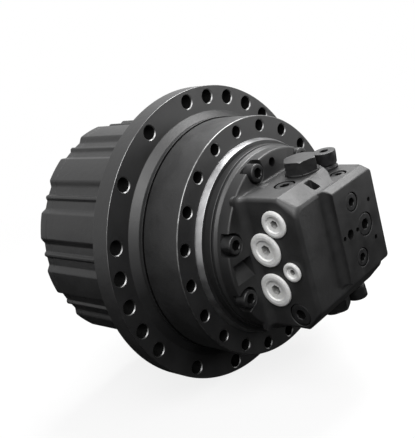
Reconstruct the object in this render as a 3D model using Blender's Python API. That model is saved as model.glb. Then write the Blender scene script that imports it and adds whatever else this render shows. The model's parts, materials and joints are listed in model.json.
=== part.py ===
# Excavator final drive: travel motor, two-stage planetary reducer and sprocket hub.
#
# Metres, +Z up. The drive's axis is Y. The origin lies on that axis in the plane of the
# face that bolts to the track frame. The reducer points along +Y, the motor along -Y.

from math import acos, cos, pi, radians, sin, sqrt, tan

import bmesh
import bpy
from mathutils import Matrix, Vector

for leftover in list(bpy.data.objects):
    bpy.data.objects.remove(leftover, do_unlink=True)

# Clearances
seat_gap = 0.0003
running_gap = 0.0005
cut_overrun = 0.004
merge_distance = 0.000001

# Facets round a turned piece
outer_steps = 36
inner_steps = 24
small_steps = 12
hole_steps = 8
piston_steps = 6

# Hydraulic motor across the axis, from its shaft outwards
shaft_radius = 0.0190
shaft_bore_space = 0.0070
shaft_bore_radius = shaft_radius + shaft_bore_space
shaft_bearing_section = 0.0210
shaft_bearing_radius = shaft_radius + shaft_bearing_section
shaft_socket_wall = 0.0040
shaft_socket_radius = shaft_radius + shaft_socket_wall
shank_step = 0.0040
sun_1_shank_radius = shaft_radius - shank_step
block_radius = 0.0580
piston_radius = 0.0085
piston_circle_inset = 0.0200
piston_circle_radius = block_radius - piston_circle_inset
piston_count = 9
swash_bore_space = 0.0110
swash_bore = shaft_radius + swash_bore_space
valve_plate_bore_space = 0.0060
valve_plate_bore = shaft_radius + valve_plate_bore_space
valve_plate_step = 0.0030
valve_plate_radius = block_radius - valve_plate_step
brake_bore_space = 0.0060
brake_plate_inner = block_radius + brake_bore_space
brake_piston_inner = block_radius + brake_bore_space
chamber_space = 0.0220
chamber_radius = block_radius + chamber_space
brake_disc_space = 0.0060
brake_disc_radius = chamber_radius - brake_disc_space
swash_space = 0.0140
swash_radius = chamber_radius - swash_space

# Spindle and main bearings across the axis
spindle_wall = 0.0300
spindle_radius = chamber_radius + spindle_wall
bearing_inner_section = 0.0200
bearing_inner_rim = spindle_radius + bearing_inner_section
bearing_play = 0.0015
bearing_outer_bore = bearing_inner_rim + bearing_play
bearing_outer_section = 0.0157
bearing_outer_radius = bearing_outer_bore + bearing_outer_section
bearing_shoulder = 0.0075
bearing_shoulder_radius = bearing_outer_bore + bearing_shoulder
bearing_lip = 0.0060
nut_thread_depth = 0.0050
nut_seat_radius = spindle_radius - nut_thread_depth
nut_section = 0.0270
nut_radius = nut_seat_radius + nut_section
nut_slot_count = 4
nut_slot_width = 0.0160
nut_slot_depth = 0.0080

# Floating seal between the case and the hub, across the axis
seal_land_step = 0.0180
seal_land_radius = spindle_radius + seal_land_step
seal_land_space = 0.0300
seal_face_inner = seal_land_radius + seal_land_space
seal_back_step = 0.0080
seal_back_radius = seal_face_inner + seal_back_step
seal_slope_step = 0.0080
seal_face_outer = seal_back_radius + seal_slope_step
seal_groove_space = 0.0045
seal_groove_radius = seal_face_outer + seal_groove_space
toric_radius = 0.0045
toric_sides = 5

# Stationary case across the axis: the drum that bolts to the track frame, and its pilot
seal_wall = 0.0067
case_radius = seal_groove_radius + seal_wall
case_edge_chamfer = 0.0018
frame_hole_radius = 0.0088
frame_bolt_count = 20
frame_bolt_edge = 0.0152
frame_bolt_circle_radius = case_radius - frame_bolt_edge
pilot_step = 0.0194
pilot_radius = frame_bolt_circle_radius - pilot_step
pilot_chamfer = 0.0036
case_neck_step = 0.0091
case_neck_radius = pilot_radius - case_neck_step

# Along the axis, from the frame face towards the reducer
case_length = 0.0705
hub_gap = 0.0015
hub_start = case_length + hub_gap
seal_ring_depth = 0.0110
seal_groove_clearance = 0.0035
seal_groove_floor = case_length - seal_ring_depth - seal_groove_clearance
frame_hole_floor = 0.0180
frame_hole_depth = seal_groove_floor - frame_hole_floor
hub_seal_clearance = 0.0030
hub_seal_depth = seal_ring_depth + hub_seal_clearance
boss_length = 0.0180
flange_start = hub_start + boss_length
flange_thickness = 0.0330
flange_edge_chamfer = 0.0015
boss_cone_length = 0.0100
bearing_inset = 0.0020
bearing_start = flange_start + bearing_inset
bearing_width = 0.0330
bearing_spacer = 0.0180
hub_end = bearing_start + 2 * bearing_width + bearing_spacer
nut_clearance = 0.0013
nut_start = hub_end + nut_clearance
nut_width = 0.0140
chamber_floor_step = 0.0040
chamber_end = bearing_start - chamber_floor_step
shaft_bearing_width = 0.0200
carrier_2_clearance = 0.0057
carrier_2_start = nut_start + nut_width + carrier_2_clearance
carrier_2_thickness = 0.0180
nose_length = 0.0020
nose_end = carrier_2_start + carrier_2_thickness + nose_length
stage_2_clearance = 0.0050
stage_2_start = carrier_2_start + carrier_2_thickness + stage_2_clearance
stage_2_width = 0.0400
teeth_lead = 0.0050
teeth_start = stage_2_start - teeth_lead
carrier_1_clearance = 0.0045
carrier_1_start = stage_2_start + stage_2_width + carrier_1_clearance
carrier_1_thickness = 0.0110
stage_1_clearance = 0.0035
stage_1_start = carrier_1_start + carrier_1_thickness + stage_1_clearance
stage_1_width = 0.0240
sun_1_overhang = 0.0020
sun_1_end = stage_1_start + stage_1_width + sun_1_overhang
cover_clearance = 0.0040
housing_end = sun_1_end + cover_clearance

# Hydraulic motor along the axis
case_end_depth = 0.0220
pilot_length = 0.0100
cover_flange_start = -case_end_depth - seat_gap
valve_plate_thickness = 0.0080
block_start = -case_end_depth + valve_plate_thickness
swash_floor_space = 0.0240
swash_centre = chamber_end - swash_floor_space
swash_thickness = 0.0140
swash_rest_angle = radians(12)
swash_trunnion_radius = 0.0065
swash_trunnion_root_share = 0.85
block_swash_space = 0.0280
block_length = swash_centre - block_swash_space - block_start
piston_reach = 0.0070
brake_disc_place = 0.0340
brake_disc_start = block_start + brake_disc_place
brake_disc_thickness = 0.0030
brake_plate_thickness = 0.0050
brake_piston_overhang = 0.0040
brake_piston_start = block_start - brake_piston_overhang
shaft_socket_place = 0.0520
shaft_socket_start = chamber_end + shaft_socket_place
shaft_socket_length = 0.0400
shaft_socket_end = shaft_socket_start + shaft_socket_length
shank_engagement = 0.0200
sun_1_shank_end = shaft_socket_end - shank_engagement
shaft_tail_length = 0.0327
shaft_tail = cover_flange_start - shaft_tail_length

# Gears: one ring gear serves both stages
module = 0.0060
pressure_angle = radians(25)
flank_relief = 0.0002
ring_flank_relief = 0.0005
ring_teeth = 50
sun_teeth = {1: 10, 2: 16}
planet_teeth = {1: 20, 2: 17}
planet_count = {1: 3, 2: 3}
dedendum_share = 1.25
stage_start = {1: stage_1_start, 2: stage_2_start}
stage_width = {1: stage_1_width, 2: stage_2_width}
planet_1_pin_radius = 0.0190
planet_2_pin_radius = 0.0210
planet_pin_radius = {1: planet_1_pin_radius, 2: planet_2_pin_radius}
planet_1_distance = module * (sun_teeth[1] + planet_teeth[1]) / 2
planet_2_distance = module * (sun_teeth[2] + planet_teeth[2]) / 2
carrier_1_rim = 0.0100
carrier_2_rim = 0.0060
carrier_1_radius = planet_1_distance + planet_1_pin_radius + carrier_1_rim
carrier_2_radius = planet_2_distance + planet_2_pin_radius + carrier_2_rim
carrier_radius = {1: carrier_1_radius, 2: carrier_2_radius}
carrier_start = {1: carrier_1_start, 2: carrier_2_start}
carrier_thickness = {1: carrier_1_thickness, 2: carrier_2_thickness}
nose_space = 0.0100
nose_radius = planet_2_distance - planet_2_pin_radius - nose_space
sun_2_bore_space = 0.0030
sun_2_bore = sun_1_shank_radius + sun_2_bore_space
sun_2_wall = 0.0120
sun_2_spline_radius = sun_2_bore + sun_2_wall

# Ring gear housing: twelve lobes over the cover bolts, a small rib between two lobes
housing_wall = 0.0025
housing_bore = module * ring_teeth / 2 + dedendum_share * module + housing_wall
notch_wall = 0.0240
notch_radius = housing_bore + notch_wall
lobe_height = 0.0070
lobe_radius = notch_radius + lobe_height
rib_height = 0.0050
rib_radius = notch_radius + rib_height
lobe_count = 12
lobe_half_width = radians(7.75)
lobe_ramp = radians(1.6)
rib_half_width = radians(1.6)
hub_rest_angle = radians(5.5)

# Rotating hub and its sprocket flange, across the axis
hub_neck_step = 0.0040
hub_neck_radius = notch_radius + hub_neck_step
boss_lip_wall = 0.0085
boss_lip_radius = seal_groove_radius + boss_lip_wall
boss_cone_step = 0.0110
boss_radius = boss_lip_radius + boss_cone_step
sprocket_bolt_inset = 0.0325
sprocket_bolt_circle_radius = hub_neck_radius + sprocket_bolt_inset
sprocket_bolt_edge = 0.0170
flange_radius = sprocket_bolt_circle_radius + sprocket_bolt_edge
sprocket_hole_radius = 0.0108
sprocket_hole_pitch = radians(12)
sprocket_group_pitch = radians(120)
sprocket_group_start = radians(41)
sprocket_group_places = (0, 1, 2, 3, 4, 6, 8)

# End cover
cover_thickness = 0.0180
cover_dome_inset = 0.0450
cover_dome_radius = housing_bore - cover_dome_inset
cover_dome_height = 0.0060
cover_bolt_inset = 0.0135
cover_bolt_circle_radius = notch_radius - cover_bolt_inset
cover_bolt_across_flats = 0.0220
cover_bolt_head = 0.0090
cover_plug_inset = 0.0310
cover_plug_circle_radius = cover_bolt_circle_radius - cover_plug_inset
cover_plug_turns = (radians(15), radians(195))
cover_plug_seat = 0.0130
cover_plug_rim = 0.0030
cover_plug_radius = cover_plug_seat + cover_plug_rim
cover_plug_height = 0.0060
cover_plug_socket = 0.0100

# Valve cover: round flange
cover_flange_step = 0.0015
cover_flange_rim_radius = case_neck_radius - cover_flange_step
cover_flange_draft = 0.0035
cover_flange_radius = cover_flange_rim_radius - cover_flange_draft
cover_flange_thickness = 0.0291
cover_flange_face = cover_flange_start - cover_flange_thickness
cover_lip = 0.0040
tail_bore_space = 0.0025
shaft_tail_bore = shaft_radius + tail_bore_space
tail_bore_overrun = 0.0073
shaft_tail_depth = shaft_tail_length + tail_bore_overrun

# Valve cover: the block with the ports, its terrace, its slope and its pad
block_half_width = 0.0850
block_step_inset = 0.0400
block_step_place = block_half_width - block_step_inset
block_side_drop = 0.0150
block_low_top = 0.0850
block_top = block_low_top + block_side_drop
block_bottom = -0.1030
block_reach = 0.0946
block_front = cover_flange_face - block_reach
terrace_length = 0.0360
terrace_back = block_front + terrace_length
terrace_knee_step = 0.0140
terrace_knee_length = 0.0200
terrace_knee = (block_step_place - terrace_knee_step, block_front + terrace_knee_length)
terrace_tip_step = 0.0370
terrace_tip = block_step_place - terrace_tip_step
slope_length = 0.0280
block_top_run = block_front + slope_length
slope_drop = 0.0170
block_front_top = block_top - slope_drop
lower_slope = 0.0280
block_front_bottom = block_bottom + lower_slope
block_low_step = 0.0020
block_low_run = block_front - block_low_step
block_bevel = 0.0040
pad_side_step = 0.0020
pad_right = block_half_width - pad_side_step
pad_width = 0.1000
pad_left = pad_right - pad_width
pad_top_step = 0.0060
pad_top = block_low_top - pad_top_step
pad_bottom_step = 0.0130
pad_bottom = block_front_bottom + pad_bottom_step
pad_height = 0.0140
pad_front = block_front - pad_height
valley_top = 0.0140
valley_bottom = -0.0120
valley_depth = 0.0200
valley_step = 0.0100
valley_inner = -block_half_width - valley_step
casting_hole_radius = 0.0062
casting_hole_depth = 0.0220
chamfer_pocket_step = 0.0320
chamfer_pocket_left = terrace_tip - chamfer_pocket_step
chamfer_pocket_width = 0.0150
chamfer_pocket_right = chamfer_pocket_left + chamfer_pocket_width
chamfer_pocket_inset = 0.0080
chamfer_pocket_near = block_front + chamfer_pocket_inset
chamfer_pocket_length = 0.0170
chamfer_pocket_far = chamfer_pocket_near + chamfer_pocket_length
chamfer_pocket_depth = 0.0050
chamfer_pocket_floor = block_front_top - chamfer_pocket_depth

# Screws that hold the valve cover
screw_edge = 0.0160
screw_circle_radius = cover_flange_rim_radius - screw_edge
screw_angles = [radians(place) for place in (20, 57, 107, 160, 200, 253, 287, 340)]
screw_head_radius = 0.0135
screw_head_height = 0.0180
screw_seat_wall = 0.0142
screw_seat = cover_flange_start - screw_seat_wall
screw_pocket_space = 0.0030
screw_pocket_radius = screw_head_radius + screw_pocket_space
screw_hex_across_flats = 0.0140
screw_hex_depth = 0.0090
screw_head_step = 0.0045
screw_shank_radius = screw_head_radius - screw_head_step
screw_hole_space = 0.0008
screw_shank_hole_radius = screw_shank_radius + screw_hole_space
screw_shank_length = 0.0110

# Moulded plugs in the ports of the left side: size, then shares along and up that side
charge_plug_size = 0.0410
main_plug_size = 0.0525
drain_plug_size = 0.0290
port_plug_sizes = {
    "port_plug_top": charge_plug_size,
    "port_plug_upper": main_plug_size,
    "port_plug_lower": main_plug_size,
    "port_plug_drain": drain_plug_size,
}
port_plug_place_shares = {
    "port_plug_top": (0.579, 0.818),
    "port_plug_upper": (0.290, 0.616),
    "port_plug_lower": (0.286, 0.305),
    "port_plug_drain": (0.698, 0.463),
}
port_plug_rim = 0.0050
port_plug_socket_share = 0.24
port_plug_socket_depth = 0.0070
port_plug_stem_share = 0.68
port_plug_stem_length = 0.0160
port_bore_depth = 0.0260

flush_plug_socket_share = 0.42
flush_plug_depth = 0.0140
flush_plug_recess = 0.0010
flush_plug_socket_depth = 0.0070
side_plug_size = 0.0340
side_plug_place_shares = (0.625, 0.120)

# Screw plugs, small port and tapped holes of the pad: shares across and up the pad
end_plug_small = 0.0270
end_plug_large = 0.0340
end_plug_sizes = {
    "end_plug_upper": end_plug_small,
    "end_plug_middle": end_plug_large,
    "end_plug_lower": end_plug_small,
}
end_plug_place_shares = {
    "end_plug_upper": (0.401, 0.799),
    "end_plug_middle": (0.605, 0.493),
    "end_plug_lower": (0.383, 0.191),
}
end_port_size = 0.0127
end_port_depth = 0.0160
end_port_place_shares = (0.210, 0.504)
end_tap_size = 0.0060
end_tap_depth = 0.0120
end_tap_place_shares = ((0.796, 0.711), (0.391, 0.499), (0.063, 0.501), (0.787, 0.289))

# On top of the block: shares across its high or its low part, and along the block
high_part = (-block_half_width, block_step_place)
low_part = (block_step_place, block_half_width)
high_plug_size = 0.0300
high_plug_place_shares = (0.399, 0.463)
low_plug_size = 0.0230
low_plug_place_shares = (0.014, 0.831)
spool_place_shares = (0.7768, 0.419)
relief_place_shares = (0.524, 0.493)

hex_plug_across_flats = 0.0450
hex_plug_head = 0.0190
hex_plug_collar = 0.0255
hex_plug_collar_height = 0.0020
hex_plug_stem_radius = 0.0165
hex_plug_stem_length = 0.0200
spool_radius = 0.0110
spool_bore_radius = 0.0116
spool_travel = 0.0080
spool_spring_space = 0.0135
spool_end_space = spool_travel + spool_spring_space
spool_half_length = (block_top - block_bottom) / 2 - hex_plug_stem_length - spool_end_space
spool_groove_radius = 0.0075
spool_land = 0.0220
relief_cap_radius = 0.0170
relief_cap_height = 0.0270
relief_waist_radius = 0.0145
relief_waist_height = 0.0050
relief_socket_across_flats = 0.0120
relief_socket_depth = 0.0080
relief_stem_radius = 0.0120
relief_stem_length = 0.0200


def material(name, colour, roughness, metallic=0.0):
    """A Principled surface in one plain colour."""
    made = bpy.data.materials.new(name)
    made.use_nodes = True
    shader = made.node_tree.nodes["Principled BSDF"]
    shader.inputs["Base Color"].default_value = (*colour, 1.0)
    shader.inputs["Roughness"].default_value = roughness
    shader.inputs["Metallic"].default_value = metallic
    return made


black_paint = material("black_paint", (0.022, 0.022, 0.023), 0.45)
black_oxide = material("black_oxide_steel", (0.020, 0.020, 0.021), 0.35, 0.4)
machined_steel = material("machined_steel", (0.55, 0.55, 0.56), 0.30, 1.0)
gear_steel = material("gear_steel", (0.38, 0.38, 0.39), 0.35, 1.0)
bronze = material("bronze", (0.50, 0.34, 0.16), 0.40, 1.0)
white_plastic = material("white_plastic", (0.80, 0.80, 0.78), 0.45)
seal_rubber = material("seal_rubber", (0.015, 0.015, 0.015), 0.70)


def add_object(name, shape, finish, place=(0, 0, 0)):
    """Turn a bmesh into a named object with outward faces and soft shading."""
    bmesh.ops.recalc_face_normals(shape, faces=shape.faces)
    mesh = bpy.data.meshes.new(name)
    shape.to_mesh(mesh)
    shape.free()
    mesh.shade_smooth()
    mesh.set_sharp_from_angle(angle=radians(30))
    mesh.materials.append(finish)
    made = bpy.data.objects.new(name, mesh)
    made.location = place
    bpy.context.scene.collection.objects.link(made)
    return made


def spun(outline, steps):
    """Spin a closed outline of (radius, height) points about the Y axis."""
    shape = bmesh.new()
    points = [shape.verts.new((radius, height, 0)) for radius, height in outline]
    edges = [shape.edges.new((points[i - 1], points[i])) for i in range(len(points))]
    bmesh.ops.spin(shape, geom=points + edges, cent=(0, 0, 0), axis=(0, 1, 0), angle=2 * pi,
                   steps=steps, use_merge=True, use_duplicate=False)
    bmesh.ops.remove_doubles(shape, verts=shape.verts, dist=merge_distance)
    loose = [edge for edge in shape.edges if not edge.link_faces]
    bmesh.ops.delete(shape, geom=loose, context="EDGES")
    return shape


def turned(name, outline, finish, steps=inner_steps, place=(0, 0, 0)):
    """A turned piece about an axis along Y."""
    return add_object(name, spun(outline, steps), finish, place)


def circle(radius, steps, phase=0.0):
    """Points round a circle in the XZ plane."""
    turns = [phase + 2 * pi * i / steps for i in range(steps)]
    return [(radius * cos(turn), radius * sin(turn)) for turn in turns]


def hexagon(across_flats, phase=0.0):
    """The six corners of a hexagon in the XZ plane."""
    return circle(across_flats / sqrt(3), 6, phase)


def plate(loops, start, end):
    """A plate between two Y places: the first loop is its outline, the others its holes."""
    shape = bmesh.new()
    edges = []
    for loop in loops:
        corners = [shape.verts.new((x, start, z)) for x, z in loop]
        edges += [shape.edges.new((corners[i - 1], corners[i])) for i in range(len(corners))]
    bmesh.ops.triangle_fill(shape, edges=edges, use_beauty=True)
    lifted = bmesh.ops.extrude_face_region(shape, geom=shape.faces[:])
    corners = [item for item in lifted["geom"] if isinstance(item, bmesh.types.BMVert)]
    bmesh.ops.translate(shape, verts=corners, vec=(0, end - start, 0))
    return shape


def slab(outline, left, right):
    """A block between two X places, from an outline of (Y, Z) points."""
    shape = bmesh.new()
    corners = [shape.verts.new((left, y, z)) for y, z in outline]
    face = shape.faces.new(corners)
    lifted = bmesh.ops.extrude_face_region(shape, geom=[face])
    moved = [item for item in lifted["geom"] if isinstance(item, bmesh.types.BMVert)]
    bmesh.ops.translate(shape, verts=moved, vec=(right - left, 0, 0))
    return shape


def box(low, high):
    """A rectangular block between two corners."""
    outline = [(low[1], low[2]), (high[1], low[2]), (high[1], high[2]), (low[1], high[2])]
    return slab(outline, low[0], high[0])


def joined(shapes):
    """One bmesh that holds all the shapes given."""
    whole = bmesh.new()
    for shape in shapes:
        part = bpy.data.meshes.new("part")
        bmesh.ops.recalc_face_normals(shape, faces=shape.faces)
        shape.to_mesh(part)
        shape.free()
        whole.from_mesh(part)
        bpy.data.meshes.remove(part)
    return whole


def turned_to(shape, towards, place):
    """Turn a shape that points along -Y to point along a direction, and put it in its place."""
    turn = Vector((0, -1, 0)).rotation_difference(Vector(towards)).to_matrix().to_4x4()
    bmesh.ops.transform(shape, matrix=Matrix.Translation(place) @ turn, verts=shape.verts)
    return shape


def combine(target, shape, operation):
    """Cut a shape from an object, or fuse the shape to it."""
    tool_name = f"{target.name}_{operation.lower()}_{len(target.modifiers)}"
    tool = add_object(tool_name, shape, black_paint)
    tool.parent = target
    bpy.context.view_layer.update()
    tool.matrix_parent_inverse = target.matrix_world.inverted()
    tool.hide_render = True
    tool.display_type = "WIRE"
    modifier = target.modifiers.new(operation.lower(), "BOOLEAN")
    modifier.operation = operation
    modifier.solver = "EXACT"
    modifier.object = tool
    return target


def pocket(radius, depth, steps=small_steps):
    """A round bore along +Y from the plane y = 0."""
    return spun([(0, -cut_overrun), (radius, -cut_overrun), (radius, depth), (0, depth)], steps)


def at(shape, place):
    """Move a shape to a place."""
    bmesh.ops.translate(shape, verts=shape.verts, vec=place)
    return shape


def round_place(radius, angle, height):
    """A point at an angle about the Y axis, counted from +X towards +Z."""
    return (radius * cos(angle), height, radius * sin(angle))


def between(low, high, share):
    """The value that lies a share of the way from low to high."""
    return low + (high - low) * share


def side_place(along, up):
    """A place on the left side of the block, from shares along it and up it."""
    length = between(cover_flange_face, block_front, along)
    return (-block_half_width, length, between(block_bottom, block_top, up))


def pad_place(across, up):
    """A place on the face of the pad, from shares across it and up it."""
    return (between(pad_left, pad_right, across), pad_front, between(pad_bottom, pad_top, up))


def top_place(part, across, along, height):
    """A place above the block, from shares across one part of it and along the block."""
    return (between(*part, across), between(cover_flange_face, block_front, along), height)


# Gear geometry

def involute(angle):
    return tan(angle) - angle


def flank_half_angle(teeth, radius):
    """Half the angle that an external tooth spans at a radius, without relief."""
    base = module * teeth / 2 * cos(pressure_angle)
    rolled = acos(min(1.0, base / radius))
    return pi / (2 * teeth) + involute(pressure_angle) - involute(rolled)


def external_teeth(teeth, phase=0.0):
    """The outline of a spur gear whose first tooth points at the phase angle."""
    pitch = module * teeth / 2
    radii = [pitch - dedendum_share * module, pitch, pitch + module]
    relief = flank_relief / pitch
    points = []
    for tooth in range(teeth):
        centre = phase + 2 * pi * tooth / teeth
        halves = [flank_half_angle(teeth, radius) - relief for radius in radii]
        rising = [(radius, centre - half) for radius, half in zip(radii, halves)]
        falling = [(radius, centre + half) for radius, half in zip(radii, halves)]
        points += rising + falling[::-1]
    return [(radius * cos(angle), radius * sin(angle)) for radius, angle in points]


def internal_teeth(teeth, phase=0.0):
    """The bore outline of a ring gear whose first tooth points inwards at the phase angle."""
    pitch = module * teeth / 2
    radii = [pitch + dedendum_share * module, pitch - module]
    relief = ring_flank_relief / pitch
    points = []
    for tooth in range(teeth):
        centre = phase + 2 * pi * tooth / teeth
        halves = [pi / teeth - flank_half_angle(teeth, radius) - relief for radius in radii]
        rising = [(radius, centre - half) for radius, half in zip(radii, halves)]
        falling = [(radius, centre + half) for radius, half in zip(radii, halves)]
        points += rising + falling[::-1]
    return [(radius * cos(angle), radius * sin(angle)) for radius, angle in points]


def centre_distance(stage):
    return module * (sun_teeth[stage] + planet_teeth[stage]) / 2


def planet_angle(stage, index):
    return pi / 2 + 2 * pi * index / planet_count[stage]


def planet_phase(stage, index):
    """A planet's tooth stands in a space of the ring gear."""
    towards = planet_angle(stage, index)
    turned_teeth = (towards - hub_rest_angle) * ring_teeth / (2 * pi)
    return towards - 2 * pi / planet_teeth[stage] * (0.5 + turned_teeth)


def sun_phase(stage):
    """A sun's tooth stands in a space of the first planet."""
    towards = planet_angle(stage, 0)
    planet_turn = (towards + pi - planet_phase(stage, 0)) * planet_teeth[stage] / (2 * pi)
    return towards - 2 * pi / sun_teeth[stage] * (0.5 - planet_turn)


# Case and hub

def make_motor_case():
    """Frame flange drum, pilot, motor chamber and bearing spindle in one casting."""
    chamfer = case_edge_chamfer
    drum = [
        (0, -case_end_depth),
        (case_neck_radius, -case_end_depth),
        (case_neck_radius, -pilot_length),
        (pilot_radius - pilot_chamfer, -pilot_length),
        (pilot_radius, -pilot_length + pilot_chamfer),
        (pilot_radius, 0),
        (case_radius - chamfer, 0),
        (case_radius, chamfer),
        (case_radius, case_length),
        (seal_groove_radius, case_length),
        (seal_groove_radius, seal_groove_floor),
        (0, seal_groove_floor),
    ]
    case = turned("motor_case", drum, black_paint, outer_steps)
    spindle = [
        (0, seal_groove_floor - cut_overrun),
        (seal_land_radius, seal_groove_floor - cut_overrun),
        (seal_land_radius, bearing_start - seat_gap),
        (spindle_radius, bearing_start - seat_gap),
        (spindle_radius, nut_start - seat_gap),
        (nut_seat_radius, nut_start - seat_gap),
        (nut_seat_radius, carrier_start[2] - seat_gap),
        (nose_radius, carrier_start[2] - seat_gap),
        (nose_radius, nose_end),
        (0, nose_end),
    ]
    combine(case, spun(spindle, inner_steps), "UNION")
    bores = [
        (0, -case_end_depth - cut_overrun),
        (chamber_radius, -case_end_depth - cut_overrun),
        (chamber_radius, chamber_end),
        (shaft_bearing_radius, chamber_end),
        (shaft_bearing_radius, chamber_end + shaft_bearing_width),
        (shaft_bore_radius, chamber_end + shaft_bearing_width),
        (shaft_bore_radius, nose_end + cut_overrun),
        (0, nose_end + cut_overrun),
    ]
    holes = [spun(bores, inner_steps)]
    for index in range(frame_bolt_count):
        angle = 2 * pi * index / frame_bolt_count
        hole = pocket(frame_hole_radius, frame_hole_depth, hole_steps)
        holes.append(at(hole, round_place(frame_bolt_circle_radius, angle, 0)))
    return combine(case, joined(holes), "DIFFERENCE")


def make_hub():
    """Sprocket flange, seal housing and bearing housing in one casting."""
    chamfer = flange_edge_chamfer
    flange_end = flange_start + flange_thickness
    seat_radius = bearing_outer_radius + seat_gap
    first_end = bearing_start + bearing_width
    outside = [
        (0, hub_start),
        (boss_lip_radius, hub_start),
        (boss_lip_radius, flange_start - boss_cone_length),
        (boss_radius, flange_start),
        (flange_radius - chamfer, flange_start),
        (flange_radius, flange_start + chamfer),
        (flange_radius, flange_end),
        (hub_neck_radius, flange_end),
        (hub_neck_radius, hub_end),
        (0, hub_end),
    ]
    hub = turned("sprocket_hub", outside, black_paint, outer_steps)
    inside = [
        (0, hub_start - cut_overrun),
        (seal_groove_radius, hub_start - cut_overrun),
        (seal_groove_radius, hub_start + hub_seal_depth),
        (seat_radius, hub_start + hub_seal_depth),
        (seat_radius, first_end + seat_gap),
        (bearing_shoulder_radius, first_end + seat_gap),
        (bearing_shoulder_radius, first_end + bearing_spacer - seat_gap),
        (seat_radius, first_end + bearing_spacer - seat_gap),
        (seat_radius, hub_end + cut_overrun),
        (0, hub_end + cut_overrun),
    ]
    holes = [spun(inside, inner_steps)]
    for group in range(3):
        for place in sprocket_group_places:
            angle = sprocket_group_start + group * sprocket_group_pitch + place * sprocket_hole_pitch
            hole = pocket(sprocket_hole_radius, flange_thickness + cut_overrun, hole_steps)
            holes.append(at(hole, round_place(sprocket_bolt_circle_radius, angle, flange_start)))
    return combine(hub, joined(holes), "DIFFERENCE")


def lobed_outline():
    """The drum's outline: a lobe over each bolt, a rib in the middle of each notch."""
    pitch = 2 * pi / lobe_count
    points = []
    for lobe in range(lobe_count):
        centre = hub_rest_angle + lobe * pitch
        middle = centre + pitch / 2
        places = [
            (notch_radius, centre - lobe_half_width - lobe_ramp / 2),
            (lobe_radius, centre - lobe_half_width + lobe_ramp / 2),
            (lobe_radius, centre + lobe_half_width - lobe_ramp / 2),
            (notch_radius, centre + lobe_half_width + lobe_ramp / 2),
            (notch_radius, middle - rib_half_width),
            (rib_radius, middle),
            (notch_radius, middle + rib_half_width),
        ]
        points += [(radius * cos(angle), radius * sin(angle)) for radius, angle in places]
    return points


def make_ring_gear():
    """Drum with the internal teeth that both planet stages run in."""
    start = hub_end + seat_gap
    drum = plate([lobed_outline(), internal_teeth(ring_teeth, hub_rest_angle)], start, housing_end)
    gear = add_object("ring_gear", drum, black_paint)
    bore = [
        (0, start - cut_overrun),
        (housing_bore, start - cut_overrun),
        (housing_bore, teeth_start),
        (0, teeth_start),
    ]
    return combine(gear, spun(bore, outer_steps), "DIFFERENCE")


def make_end_cover():
    """Lobed cover with a low dome, its bolts and the seats of its two plugs."""
    start = housing_end + seat_gap
    outer_face = start + cover_thickness
    cover = add_object("end_cover", plate([lobed_outline()], start, outer_face), black_paint)
    dome_foot = cover_dome_radius + cover_dome_height
    dome = [
        (0, outer_face - cut_overrun),
        (dome_foot, outer_face - cut_overrun),
        (dome_foot, outer_face),
        (cover_dome_radius, outer_face + cover_dome_height),
        (0, outer_face + cover_dome_height),
    ]
    combine(cover, spun(dome, inner_steps), "UNION")
    heads = []
    for lobe in range(lobe_count):
        angle = hub_rest_angle + lobe * 2 * pi / lobe_count
        hexagonal = hexagon(cover_bolt_across_flats, angle)
        head = plate([hexagonal], outer_face - cut_overrun, outer_face + cover_bolt_head)
        heads.append(at(head, round_place(cover_bolt_circle_radius, angle, 0)))
    combine(cover, joined(heads), "UNION")
    seats = []
    for turn in cover_plug_turns:
        seat = pocket(cover_plug_seat + seat_gap, cover_thickness / 2)
        place = round_place(cover_plug_circle_radius, hub_rest_angle + turn, outer_face)
        seats.append(turned_to(seat, (0, 1, 0), place))
    return combine(cover, joined(seats), "DIFFERENCE")


def make_cover_plug(name, angle):
    """Screw plug with a round collar and a hexagon socket."""
    outer_face = housing_end + seat_gap + cover_thickness
    collar = outer_face + seat_gap
    stem_end = outer_face - cover_thickness / 3
    outline = [
        (0, stem_end),
        (cover_plug_seat, stem_end),
        (cover_plug_seat, collar),
        (cover_plug_radius, collar),
        (cover_plug_radius, collar + cover_plug_height),
        (0, collar + cover_plug_height),
    ]
    plug = turned(name, outline, black_oxide, small_steps, round_place(cover_plug_circle_radius, angle, 0))
    socket = plate([hexagon(cover_plug_socket)], outer_face, collar + cover_plug_height + cut_overrun)
    return combine(plug, at(socket, plug.location), "DIFFERENCE")


# Bearings, nut and floating seal

def make_bearings():
    """Two roller bearings: the inner ring carries its rollers, the outer ring sits in the hub."""
    starts = {"front": bearing_start, "rear": bearing_start + bearing_width + bearing_spacer}
    for side, start in starts.items():
        end = start + bearing_width - seat_gap
        bore = spindle_radius + seat_gap
        lean = bearing_lip if side == "front" else -bearing_lip
        inner = [
            (bore, start),
            (bearing_inner_rim - max(lean, 0), start),
            (bearing_inner_rim - max(-lean, 0), end),
            (bore, end),
        ]
        turned(f"bearing_inner_{side}", inner, machined_steel)
        outer = [
            (bearing_outer_bore - max(lean, 0), start),
            (bearing_outer_radius, start),
            (bearing_outer_radius, end),
            (bearing_outer_bore - max(-lean, 0), end),
        ]
        turned(f"bearing_outer_{side}", outer, machined_steel)


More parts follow.
